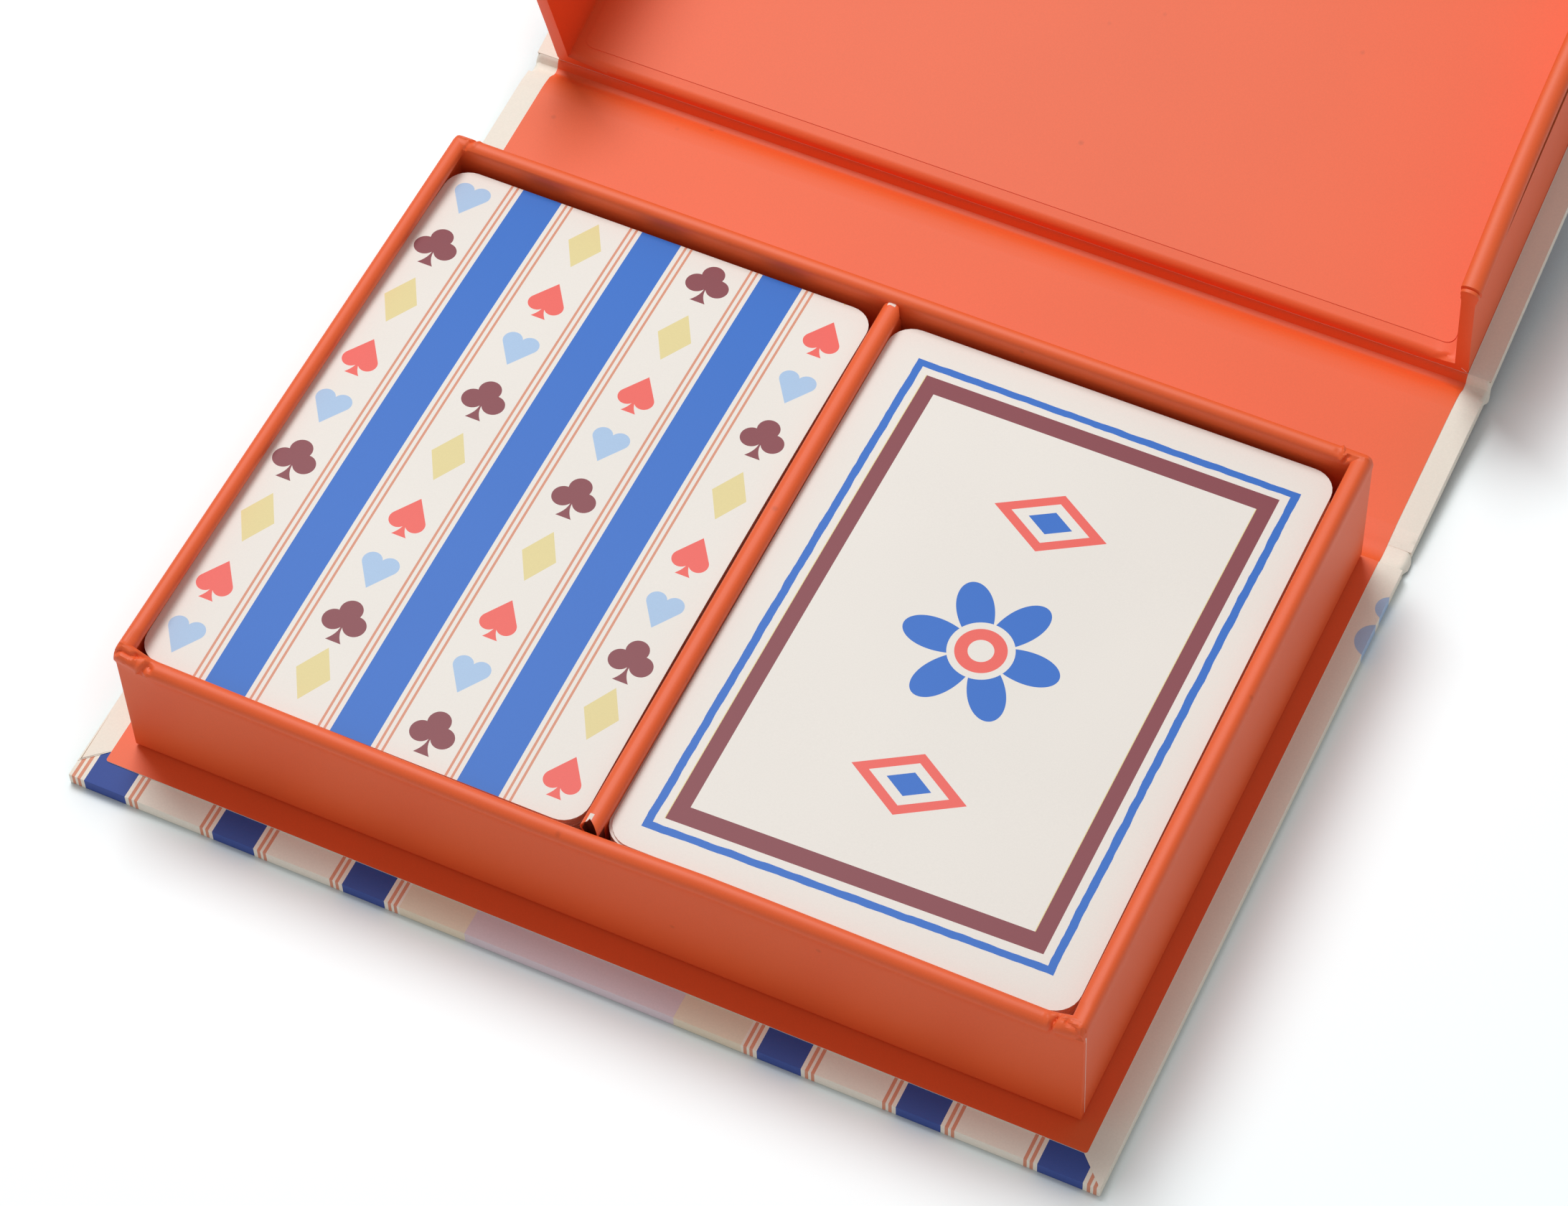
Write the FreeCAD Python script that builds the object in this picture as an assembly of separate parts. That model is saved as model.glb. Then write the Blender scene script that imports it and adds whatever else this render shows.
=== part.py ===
"""Hinged card box: a book-style clamshell case with a two-well card tray and a lid tray.

Lengths are in millimetres and angles in degrees. The origin is the centre of the underside of the
base panel, +X runs from the left card well to the right one, +Y from the front edge to the hinged
spine, and +Z is up. The box lies open: the spine and the lid lie behind the base and tilt up a little
on their paper hinges. Each panel is modelled flat in its own frame and then turned to its place.
"""

import FreeCAD
import Part

import math
import os

# Playing cards
card_width = 63.0
card_length = 88.0
card_corner_radius = 3.5
card_thickness = 0.32
cards_per_deck = 54
corner_facets = 3

# Boards and papers
case_board = 1.5
tray_board = 1.5
cover_paper = 0.18
liner_paper = 0.16
wrap_paper = 0.20

# Card tray
well_side_play = 0.675
well_end_play = 1.25
rim_above_cards = 3.3
divider_below_rim = 0.9
outer_corner_radius = 1.0
rim_flat = 0.1

# Case panels
side_overhang = 5.8
front_overhang = 7.5
turn_in_width = 12.0
liner_side_margin = 3.4
liner_end_margin = 3.8
cover_edge_radius = 0.4

# Lid tray
lid_side_play = 0.55
lid_end_play = 0.6
rim_to_lid_gap = 0.3
wall_foot_gap = 0.25
lining_hinge_margin = 5.0
lining_wall_gap = 1.2
lining_corner_radius = 2.5
floor_edge_radius = 0.5

# Paper hinges
closed_gap = 0.2
hinge_strip = 1.0
cover_slit = 0.2
liner_slit = 0.5
spine_angle = 3.2
lid_angle = 12.6

# How the loose cards lie in their wells
left_deck_shift = (-0.40, 0.10)
right_deck_shift = (-0.45, -0.55)
right_top_shift = (-0.25, -0.10)
right_top_turn = -0.2

# How close two places are when they count as one
match_tolerance = 0.01

# Derived sizes
wall_thickness = tray_board + 2 * wrap_paper
rim_radius = (wall_thickness - rim_flat) / 2
divider_thickness = tray_board + 2 * wrap_paper
well_width = card_width + 2 * well_side_play
well_length = card_length + 2 * well_end_play
tray_width = 2 * well_width + divider_thickness + 2 * wall_thickness
tray_length = well_length + 2 * wall_thickness
floor_thickness = wrap_paper + tray_board + liner_paper
deck_height = cards_per_deck * card_thickness
tray_height = floor_thickness + deck_height + rim_above_cards
divider_height = tray_height - divider_below_rim

panel_width = tray_width + 2 * side_overhang
panel_length = tray_length + front_overhang
board_top = cover_paper + case_board
turn_in_top = board_top + cover_paper
case_thickness = turn_in_top + liner_paper

hinge_offset = case_thickness + liner_paper + closed_gap
inner_height = tray_height + floor_thickness + rim_to_lid_gap
spine_pitch = inner_height + 2 * case_thickness
lid_wall_height = inner_height - wall_foot_gap
lid_tray_width = tray_width + 2 * lid_side_play + 2 * wall_thickness
lid_tray_length = tray_length + lid_end_play + wall_thickness

front_y = -panel_length / 2
back_y = panel_length / 2
spine_axis = FreeCAD.Vector(0, back_y + hinge_offset, 0)
spine_slope = math.radians(spine_angle)
spine_reach = FreeCAD.Vector(0, math.cos(spine_slope), math.sin(spine_slope)) * spine_pitch
lid_axis = spine_axis + spine_reach


def block(x_low, x_high, y_low, y_high, z_low, z_high):
    """A box between two corners."""
    size = (x_high - x_low, y_high - y_low, z_high - z_low)
    return Part.makeBox(*size, FreeCAD.Vector(x_low, y_low, z_low))


def slab(half_width, y_low, y_high, z_low, z_high):
    """A box centred on X = 0."""
    return block(-half_width, half_width, y_low, y_high, z_low, z_high)


def one_solid(shape):
    """The single solid of a boolean result, with its seams merged."""
    return shape.removeSplitter().Solids[0]


def edges_where(shape, test):
    """The straight edges of a shape whose middle and direction pass a test."""
    found = []
    for edge in shape.Edges:
        start = edge.Vertexes[0].Point
        end = edge.Vertexes[-1].Point
        if test((start + end) * 0.5, (end - start).normalize()):
            found.append(edge)
    return found


def cover_blank(half_width, y_low, y_high, near_hinged, far_hinged):
    """The outer form of a covered panel, rounded where paper turns over a board's edge."""
    blank = slab(half_width, y_low, y_high, 0, turn_in_top)

    def turned_over(middle, along):
        at_side = abs(abs(middle.x) - half_width) < match_tolerance
        at_near = abs(middle.y - y_low) < match_tolerance and not near_hinged
        at_far = abs(middle.y - y_high) < match_tolerance and not far_hinged
        if abs(along.y) > 0.5:
            return at_side
        if abs(along.x) > 0.5:
            return at_near or at_far
        return at_side and (at_near or at_far)

    return blank.makeFillet(cover_edge_radius, edges_where(blank, turned_over))


def panel(y_low, y_high, near_axis=None, far_axis=None):
    """Board, cover and liner of one flat case panel.

    A side with an axis is hinged: its cover and liner run on as strips that stop short of the axis.
    Elsewhere the cover turns in over the board's edge, under the liner.
    """
    near_hinged = near_axis is not None
    far_hinged = far_axis is not None
    half_width = panel_width / 2
    board_low = y_low if near_hinged else y_low + cover_paper
    board_high = y_high if far_hinged else y_high - cover_paper
    board = slab(half_width - cover_paper, board_low, board_high, cover_paper, board_top)

    window_half = half_width - turn_in_width
    window_low = y_low if near_hinged else y_low + turn_in_width
    window_high = y_high if far_hinged else y_high - turn_in_width
    window = slab(window_half, window_low, window_high, board_top, turn_in_top)
    cover = cover_blank(half_width, y_low, y_high, near_hinged, far_hinged).cut([board, window])

    liner_half = half_width - liner_side_margin
    liner_low = y_low if near_hinged else y_low + liner_end_margin
    liner_high = y_high if far_hinged else y_high - liner_end_margin
    step_low = window_low if near_hinged else window_low + liner_paper
    step_high = window_high if far_hinged else window_high - liner_paper
    hollow = slab(window_half - liner_paper, step_low, step_high, turn_in_top, case_thickness)
    liner = slab(liner_half, liner_low, liner_high, turn_in_top, case_thickness).cut(hollow)
    liner = liner.fuse(slab(window_half, window_low, window_high, board_top, board_top + liner_paper))

    strips = []
    if near_hinged:
        cover = cover.fuse(slab(half_width, near_axis + cover_slit, y_low, 0, cover_paper))
        strips.append((y_low - liner_paper, y_low, near_axis + liner_slit, y_low))
    if far_hinged:
        cover = cover.fuse(slab(half_width, y_high, far_axis - cover_slit, 0, cover_paper))
        strips.append((y_high, y_high + liner_paper, y_high, far_axis - liner_slit))
    for drop_low, drop_high, foot_low, foot_high in strips:
        drop = slab(liner_half, drop_low, drop_high, cover_paper, board_top + liner_paper)
        foot = slab(liner_half, foot_low, foot_high, cover_paper, cover_paper + liner_paper)
        liner = liner.fuse([drop, foot])
    return board, one_solid(cover), one_solid(liner)


def rounded_wall(x_low, x_high, y_low, y_high, z_low, z_high):
    """A board wall whose long top edges are rounded, standing between two corners."""
    wall = block(x_low, x_high, y_low, y_high, z_low, z_high)
    lengthwise = x_high - x_low > y_high - y_low

    def top_edge(middle, along):
        level = abs(middle.z - z_high) < match_tolerance
        return level and (abs(along.x) > 0.5 if lengthwise else abs(along.y) > 0.5)

    return wall.makeFillet(rim_radius - wrap_paper, edges_where(wall, top_edge))


def tray_shell(width, y_low, y_high, height, open_near):
    """Outer form of a wrapped tray: a tub with rounded rims, or one whose near side has no wall."""
    half_width = width / 2
    inner_half = half_width - wall_thickness
    shell = slab(half_width, y_low, y_high, 0, height)

    def corner_post(middle, along):
        far_post = abs(middle.y - y_high) < match_tolerance
        near_post = abs(middle.y - y_low) < match_tolerance and not open_near
        return abs(along.z) > 0.5 and (far_post or near_post)

    shell = shell.makeFillet(outer_corner_radius, edges_where(shell, corner_post))
    pocket_low = y_low - wall_thickness if open_near else y_low + wall_thickness
    pocket = slab(inner_half, pocket_low, y_high - wall_thickness, floor_thickness, height * 2)
    shell = shell.cut(pocket)

    rims = [
        edge
        for edge in shell.Edges
        if min(vertex.Z for vertex in edge.Vertexes) > height - match_tolerance
        and not (open_near and max(vertex.Y for vertex in edge.Vertexes) < y_low + match_tolerance)
    ]
    shell = shell.makeFillet(rim_radius, rims)
    if not open_near:
        return shell

    def floor_edge(middle, along):
        at_edge = abs(middle.y - y_low) < match_tolerance and abs(middle.z - floor_thickness) < match_tolerance
        return at_edge and abs(along.x) > 0.5

    return shell.makeFillet(floor_edge_radius, edges_where(shell, floor_edge))


def tray_boards(width, y_low, y_high, height, open_near):
    """The bare boards of a tray: floor, far wall, left wall, right wall and, if it has one, near wall."""
    half_width = width / 2 - wrap_paper
    inner_half = half_width - tray_board
    near = y_low + wrap_paper
    far = y_high - wrap_paper
    floor_near = near if open_near else near + tray_board
    top = height - wrap_paper
    boards = {
        "floor": slab(inner_half, floor_near, far - tray_board, wrap_paper, wrap_paper + tray_board),
        "far": rounded_wall(-half_width, half_width, far - tray_board, far, wrap_paper, top),
        "left": rounded_wall(-half_width, -inner_half, floor_near, far - tray_board, wrap_paper, top),
        "right": rounded_wall(inner_half, half_width, floor_near, far - tray_board, wrap_paper, top),
    }
    if not open_near:
        boards["near"] = rounded_wall(-half_width, half_width, near, near + tray_board, wrap_paper, top)
    return boards


def card(facets_only):
    """One playing card centred on the origin, its underside at Z = 0."""
    half_width = card_width / 2
    half_length = card_length / 2
    blank = block(-half_width, half_width, -half_length, half_length, 0, card_thickness)
    if not facets_only:
        posts = edges_where(blank, lambda middle, along: abs(along.z) > 0.5)
        return blank.makeFillet(card_corner_radius, posts)
    points = []
    for quarter, (side, end) in enumerate([(1, 1), (-1, 1), (-1, -1), (1, -1)]):
        centre_x = side * (half_width - card_corner_radius)
        centre_y = end * (half_length - card_corner_radius)
        for step in range(corner_facets + 1):
            angle = math.radians(90 * (quarter + step / corner_facets))
            x = centre_x + card_corner_radius * math.cos(angle)
            y = centre_y + card_corner_radius * math.sin(angle)
            points.append(FreeCAD.Vector(x, y, 0))
    outline = Part.makePolygon(points + points[:1])
    return Part.Face(outline).extrude(FreeCAD.Vector(0, 0, card_thickness))


def laid_card(facets_only, x, y, z, turn=0.0):
    """A card laid flat at a place, turned about the vertical."""
    turned = FreeCAD.Rotation(FreeCAD.Vector(0, 0, 1), turn)
    solid = card(facets_only)
    solid.Placement = FreeCAD.Placement(FreeCAD.Vector(x, y, z), turned)
    return solid


def deck(well_centre, shift, top_shift, top_turn=0.0):
    """The stacked cards of one deck, and the card on top of them."""
    x, y = well_centre
    bottom = case_thickness + floor_thickness
    stack = [
        laid_card(True, x + shift[0], y + shift[1], bottom + index * card_thickness)
        for index in range(cards_per_deck - 1)
    ]
    top_level = bottom + deck_height - card_thickness
    top = laid_card(False, x + top_shift[0], y + top_shift[1], top_level, top_turn)
    return stack, top


def placed(shape, axis, angle):
    """A piece modelled flat from its hinge axis, turned up by an angle and set at the axis."""
    turned = FreeCAD.Rotation(FreeCAD.Vector(1, 0, 0), angle)
    moved = shape.copy()
    moved.Placement = FreeCAD.Placement(axis, turned).multiply(moved.Placement)
    return moved


def lifted(shape, height):
    """A copy of a shape, moved up."""
    return shape.translated(FreeCAD.Vector(0, 0, height))


def build_base():
    """The base panel and everything that is glued to it."""
    board, cover, liner = panel(front_y, back_y, far_axis=spine_axis.y)
    tray_front = front_y + front_overhang
    boards = tray_boards(tray_width, tray_front, back_y, tray_height, open_near=False)

    well_low = tray_front + wall_thickness
    well_high = back_y - wall_thickness
    divider_half = divider_thickness / 2
    board_half = tray_board / 2
    floor_top = wrap_paper + tray_board
    divider_top = divider_height - wrap_paper
    divider = rounded_wall(-board_half, board_half, well_low, well_high, floor_top, divider_top)
    jacket = block(-divider_half, divider_half, well_low, well_high, floor_top, divider_height)

    def jacket_top(middle, along):
        return abs(middle.z - divider_height) < match_tolerance and abs(along.y) > 0.5

    jacket = jacket.makeFillet(rim_radius, edges_where(jacket, jacket_top)).cut(divider)

    well_outer = divider_half + well_width
    left_lining = block(-well_outer, -divider_half, well_low, well_high, floor_top, floor_thickness)
    right_lining = block(divider_half, well_outer, well_low, well_high, floor_top, floor_thickness)
    shell = tray_shell(tray_width, tray_front, back_y, tray_height, open_near=False)
    under_jacket = block(-divider_half, divider_half, well_low, well_high, floor_top, floor_thickness)
    wrap = shell.cut(list(boards.values()) + [left_lining, right_lining, under_jacket])

    on_tray = {
        "tray_floor_board": boards["floor"],
        "tray_front_wall": boards["near"],
        "tray_back_wall": boards["far"],
        "tray_left_wall": boards["left"],
        "tray_right_wall": boards["right"],
        "tray_wrap": one_solid(wrap),
        "divider_board": divider,
        "divider_wrap": one_solid(jacket),
        "left_well_lining": left_lining,
        "right_well_lining": right_lining,
    }
    pieces = {"base_board": board, "base_cover": cover, "base_liner": liner}
    pieces.update({name: lifted(shape, case_thickness) for name, shape in on_tray.items()})
    return pieces


def build_spine():
    """The spine panel, flat, measured from its hinge to the base."""
    near = hinge_strip
    far = spine_pitch - hinge_strip
    board, cover, liner = panel(near, far, near_axis=0.0, far_axis=spine_pitch)
    pieces = {"spine_board": board, "spine_cover": cover, "spine_liner": liner}
    return {name: placed(shape, spine_axis, spine_angle) for name, shape in pieces.items()}


def build_lid():
    """The lid panel and its tray, flat, measured from the hinge to the spine."""
    near = hinge_offset
    far = near + panel_length
    board, cover, liner = panel(near, far, near_axis=0.0)
    tray_far = near + lid_tray_length
    boards = tray_boards(lid_tray_width, near, tray_far, lid_wall_height, open_near=True)

    floor_top = wrap_paper + tray_board
    inner_half = lid_tray_width / 2 - wall_thickness
    lining_half = inner_half - lining_wall_gap
    lining_low = near + lining_hinge_margin
    lining_high = tray_far - wall_thickness - lining_wall_gap
    lining = slab(lining_half, lining_low, lining_high, floor_top, floor_thickness)
    posts = edges_where(lining, lambda middle, along: abs(along.z) > 0.5)
    lining = lining.makeFillet(lining_corner_radius, posts)

    shell = tray_shell(lid_tray_width, near, tray_far, lid_wall_height, open_near=True)
    open_floor = shell.cut(list(boards.values()) + [lining])
    on_lid = {
        "lid_tray_floor_board": boards["floor"],
        "lid_tray_far_wall": boards["far"],
        "lid_tray_left_wall": boards["left"],
        "lid_tray_right_wall": boards["right"],
        "lid_tray_wrap": one_solid(open_floor),
        "lid_tray_lining": lining,
    }
    pieces = {"lid_board": board, "lid_cover": cover, "lid_liner": liner}
    pieces.update({name: lifted(shape, case_thickness) for name, shape in on_lid.items()})
    return {name: placed(shape, lid_axis, lid_angle) for name, shape in pieces.items()}


def build_cards():
    """The two decks, each with its top card as a piece of its own."""
    well_x = (divider_thickness + well_width) / 2
    well_y = front_y + front_overhang + tray_length / 2
    left_stack, left_top = deck((-well_x, well_y), left_deck_shift, left_deck_shift)
    right_stack, right_top = deck((well_x, well_y), right_deck_shift, right_top_shift, right_top_turn)
    return {
        "left_deck_cards": Part.makeCompound(left_stack),
        "left_top_card": left_top,
        "right_deck_cards": Part.makeCompound(right_stack),
        "right_top_card": right_top,
    }


def main():
    """Builds every piece and writes one STEP file for each."""
    os.makedirs("parts", exist_ok=True)
    pieces = {}
    for build in (build_base, build_spine, build_lid, build_cards):
        pieces.update(build())
    for name, shape in pieces.items():
        shape.exportStep(f"parts/{name}.step")
        print(f"{name}: {len(shape.Solids)} solid(s), {shape.Volume / 1000:.2f} cm3")
    print(f"panel {panel_width:.2f} x {panel_length:.2f}, tray {tray_width:.2f} x {tray_length:.2f}")
    print(f"tray height {tray_height:.2f}, spine pitch {spine_pitch:.2f}, axes {spine_axis} {lid_axis}")


main()
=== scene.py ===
"""Looks of the hinged card box: papers, boards, card decks, floor, light and camera.

Pieces are shaped in millimetres, flat in their own panel's frame, then turned to the panel's place
and scaled to metres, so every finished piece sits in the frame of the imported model.
"""

import logging
import math
import random
from contextlib import AbstractContextManager, contextmanager
from dataclasses import dataclass
from enum import Enum
from typing import Any, Callable, Iterable, Iterator, Optional, Sequence

import bmesh
import bpy
from mathutils import Matrix, Vector
from mathutils.geometry import intersect_point_line


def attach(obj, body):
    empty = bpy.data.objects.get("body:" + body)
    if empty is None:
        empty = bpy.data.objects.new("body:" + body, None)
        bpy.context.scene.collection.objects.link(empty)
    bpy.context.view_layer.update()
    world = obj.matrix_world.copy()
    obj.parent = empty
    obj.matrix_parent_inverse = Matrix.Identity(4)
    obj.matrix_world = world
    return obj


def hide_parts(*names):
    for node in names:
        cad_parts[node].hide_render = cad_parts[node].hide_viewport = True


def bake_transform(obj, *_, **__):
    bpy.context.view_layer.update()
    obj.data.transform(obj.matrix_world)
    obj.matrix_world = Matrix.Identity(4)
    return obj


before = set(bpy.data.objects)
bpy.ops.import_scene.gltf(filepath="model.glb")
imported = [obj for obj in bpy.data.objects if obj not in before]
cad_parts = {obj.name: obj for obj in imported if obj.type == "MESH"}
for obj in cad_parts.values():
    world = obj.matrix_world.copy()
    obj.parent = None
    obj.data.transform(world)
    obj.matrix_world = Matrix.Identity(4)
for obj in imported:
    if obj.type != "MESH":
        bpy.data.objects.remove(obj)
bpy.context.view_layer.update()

log = logging.getLogger("card_box")

MM = 0.001
Point = tuple[float, float, float]

# ---------------------------------------------------------------------------------------------
# Sizes shared by the pieces, in millimetres and degrees
# ---------------------------------------------------------------------------------------------


@dataclass(frozen=True)
class BoxSizes:
    """Sizes of the box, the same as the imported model's."""

    panel_half_width: float = 73.0
    panel_front: float = -50.9
    panel_back: float = 50.9
    cover_paper: float = 0.18
    liner_paper: float = 0.16
    board_top: float = 1.68
    turn_in_top: float = 1.86
    case_top: float = 2.02
    turn_in: float = 12.0
    liner_half_width: float = 69.6
    liner_end_margin: float = 3.8
    liner_overlap: float = 3.0
    hinge_offset: float = 2.38
    hinge_strip: float = 1.0
    spine_pitch: float = 28.64
    spine_angle: float = 3.2
    lid_angle: float = 12.6
    tray_half_width: float = 67.2
    tray_front: float = -43.4
    wall: float = 1.9
    tray_height: float = 22.44
    tray_floor: float = 1.69
    divider_top: float = 23.56
    lid_tray_half_width: float = 69.65
    lid_tray_length: float = 96.8
    lid_tray_height: float = 24.35
    lid_tray_floor: float = 1.80
    corner_ease: float = 0.35


SIZES = BoxSizes()


def ease(share: float) -> float:
    """A share, kept between 0 and 1, that starts and ends gently."""
    share = max(0.0, min(1.0, share))
    return share * share * (3 - 2 * share)


def mirrored(places: Iterable[float]) -> list[float]:
    """Each place on the left and on the right."""
    return [side * place for place in places for side in (-1, 1)]


@dataclass(frozen=True)
class PanelFrame:
    """Where a panel that is modelled flat goes: its hinge line and its turn about it."""

    axis_y: float = 0.0
    axis_z: float = 0.0
    angle: float = 0.0

    def matrix(self) -> Matrix:
        """Placement in millimetres."""
        turned = Matrix.Rotation(math.radians(self.angle), 4, "X")
        return Matrix.Translation((0, self.axis_y, self.axis_z)) @ turned

    def at(self, y: float, z: float) -> tuple[float, float]:
        """The y and z of a point of the flat panel, once the panel is in place."""
        placed = self.matrix() @ Vector((0, y, z))
        return placed.y, placed.z


BASE_FRAME = PanelFrame()
SPINE_FRAME = PanelFrame(SIZES.panel_back + SIZES.hinge_offset, 0.0, SIZES.spine_angle)
LID_FRAME = PanelFrame(*SPINE_FRAME.at(SIZES.spine_pitch, 0.0), SIZES.lid_angle)


class Slot(Enum):
    """Material slots of the record."""

    BOARD = "greyboard"
    COVER = "printed_cover_paper"
    ORANGE = "orange_paper"
    CARD = "playing_card_stock"


# ---------------------------------------------------------------------------------------------
# Working a mesh
# ---------------------------------------------------------------------------------------------


class Workpiece:
    """One mesh under way, shaped with the edit-mode tools in millimetres."""

    def __init__(self, name: str) -> None:
        """Takes over the active object, which a primitive has just made.

        Args:
            name: The piece's name.
        """
        self.item = bpy.context.object
        self.item.name = name
        self.item.data.name = name

    @classmethod
    def block(cls, name: str, low: Point, high: Point) -> "Workpiece":
        """A box between two corners.

        Args:
            name: The piece's name.
            low: Lowest corner.
            high: Highest corner.

        Returns:
            The new piece.
        """
        bpy.ops.object.select_all(action="DESELECT")
        centre = [(a + b) / 2 for a, b in zip(low, high)]
        bpy.ops.mesh.primitive_cube_add(size=1, location=centre)
        piece = cls(name)
        piece.item.scale = [b - a for a, b in zip(low, high)]
        bpy.ops.object.transform_apply(location=True, rotation=True, scale=True)
        return piece

    @classmethod
    def strip(cls, name: str, half_width: float, profile: Sequence[tuple[float, float]]) -> "Workpiece":
        """A sheet centred on X = 0 whose section follows a line of (y, z) points.

        Args:
            name: The piece's name.
            half_width: Half its width along X.
            profile: The section's points, near to far.

        Returns:
            The new piece.
        """
        bpy.ops.object.select_all(action="DESELECT")
        (y0, z0), (y1, z1) = profile[:2]
        bpy.ops.mesh.primitive_plane_add(size=1, location=(0, (y0 + y1) / 2, z0))
        piece = cls(name)
        piece.item.scale = (2 * half_width, y1 - y0, 1)
        bpy.ops.object.transform_apply(location=True, rotation=True, scale=True)
        with piece.edges(lambda middle, along: middle.y > (y0 + y1) / 2 and abs(along.x) > 0.9):
            bpy.ops.transform.translate(value=(0, 0, z1 - z0))
            for (ya, za), (yb, zb) in zip(profile[1:], profile[2:]):
                bpy.ops.mesh.extrude_region_move(
                    TRANSFORM_OT_translate={"value": (0, yb - ya, zb - za)}
                )
        return piece

    def focus(self) -> None:
        """Selects this piece alone and makes it the active one."""
        bpy.ops.object.select_all(action="DESELECT")
        self.item.select_set(True)
        bpy.context.view_layer.objects.active = self.item

    @contextmanager
    def picked(self, mode: str, test: Callable[[Any], bool]) -> Iterator[None]:
        """Edit mode with only those vertices, edges or faces selected that pass a test.

        Args:
            mode: VERT, EDGE or FACE.
            test: Takes a vertex, an edge or a face of the edit mesh.

        Yields:
            Nothing.
        """
        self.focus()
        bpy.ops.object.mode_set(mode="EDIT")
        bpy.ops.mesh.select_mode(type=mode)
        bpy.ops.mesh.select_all(action="DESELECT")
        try:
            mesh = bmesh.from_edit_mesh(self.item.data)
            for part in {"VERT": mesh.verts, "EDGE": mesh.edges, "FACE": mesh.faces}[mode]:
                if test(part):
                    part.select_set(True)
            if mode == "VERT":
                mesh.select_flush(True)
            bmesh.update_edit_mesh(self.item.data)
            yield
        finally:
            bpy.ops.object.mode_set(mode="OBJECT")

    def faces(self, test: Callable[[Vector, Vector], bool]) -> AbstractContextManager[None]:
        """Edit mode with the faces selected whose centre and normal pass a test."""
        return self.picked("FACE", lambda face: test(face.calc_center_median(), face.normal))

    def edges(self, test: Callable[[Vector, Vector], bool]) -> AbstractContextManager[None]:
        """Edit mode with the edges selected whose middle and unit direction pass a test.

        Args:
            test: Takes the edge's middle and direction.

        Returns:
            The edit mode, for a with statement.
        """

        def passes(edge: bmesh.types.BMEdge) -> bool:
            """Whether an edge passes the test."""
            start, end = (vertex.co for vertex in edge.verts)
            return test((start + end) / 2, (end - start).normalized())

        return self.picked("EDGE", passes)

    def points(self, test: Callable[[Vector], bool]) -> AbstractContextManager[None]:
        """Edit mode with the vertices selected whose place passes a test."""
        return self.picked("VERT", lambda vertex: test(vertex.co))

    def split(
        self,
        axis: str,
        places: Iterable[float],
        where: Optional[Callable[[Vector, Vector], bool]] = None,
    ) -> None:
        """Cuts new edge loops across the mesh at places along an axis.

        Args:
            axis: X, Y or Z.
            places: Where each cut goes.
            where: Limits the cut to faces whose centre and normal pass this test.
        """
        normal = {"X": (1, 0, 0), "Y": (0, 1, 0), "Z": (0, 0, 1)}[axis]
        for place in places:
            self.cut([place * part for part in normal], normal, where)

    def cut(
        self,
        through: Sequence[float],
        normal: Sequence[float],
        where: Optional[Callable[[Vector, Vector], bool]] = None,
        drop_far: bool = False,
    ) -> None:
        """Cuts an edge loop along a plane.

        Args:
            through: A point of the plane.
            normal: The plane's normal.
            where: Limits the cut to faces whose centre and normal pass this test.
            drop_far: Whether what lies on the normal's side is removed, and the opening closed.
        """
        with self.faces(where or (lambda centre, facing: True)):
            bpy.ops.mesh.bisect(
                plane_co=through, plane_no=normal, threshold=1e-5, clear_outer=drop_far, use_fill=drop_far
            )

    def crease(
        self,
        line: Sequence[Point],
        reach: float,
        depth: float,
        keen: float = 2.0,
    ) -> None:
        """Presses the surface in, or raises it, along a line, as a fold or a thumb does.

        Args:
            line: Points of the line, on or near the surface.
            reach: How far from the line the surface still moves.
            depth: How far it moves at the line, outwards if positive.
            keen: How quickly that fades; more makes a sharper fold.
        """
        stops = [Vector(point) for point in line]
        span = sum((end - start).length for start, end in zip(stops, stops[1:]))
        moves = []
        for vertex in self.item.data.vertices:
            if (vertex.co - stops[0]).length > reach + span:
                continue
            away = math.inf
            for start, end in zip(stops, stops[1:]):
                foot, share = intersect_point_line(vertex.co, start, end)
                nearest = start if share < 0 else end if share > 1 else foot
                away = min(away, (vertex.co - nearest).length)
            if away < reach:
                moves.append((vertex, vertex.normal * depth * (1 - away / reach) ** keen))
        for vertex, move in moves:
            vertex.co += move
        self.item.data.update()

    def reshape(self, move: Callable[[Vector], Vector]) -> None:
        """Moves every vertex by what a rule gives for its place.

        Args:
            move: Takes a place and gives how far it moves.
        """
        for vertex in self.item.data.vertices:
            vertex.co += move(vertex.co)
        self.item.data.update()

    def modifier(self, kind: str, **settings: Any) -> None:
        """Adds a modifier and applies it.

        Args:
            kind: Blender's modifier type.
            settings: Its settings.
        """
        self.focus()
        added = self.item.modifiers.new(kind.title(), kind)
        for key, value in settings.items():
            setattr(added, key, value)
        bpy.ops.object.modifier_apply(modifier=added.name)

    def dress(self, *finishes: bpy.types.Material) -> None:
        """Gives the piece its materials, the first on every face.

        Args:
            finishes: Materials, one per slot.
        """
        self.item.data.materials.clear()
        for finish in finishes:
            self.item.data.materials.append(finish)

    def dress_faces(self, index: int, test: Callable[[Vector, Vector], bool]) -> None:
        """Gives some faces another of the piece's materials.

        Args:
            index: Number of the material slot.
            test: Takes the face's centre and normal.
        """
        with self.faces(test):
            self.item.active_material_index = index
            bpy.ops.object.material_slot_assign()

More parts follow.
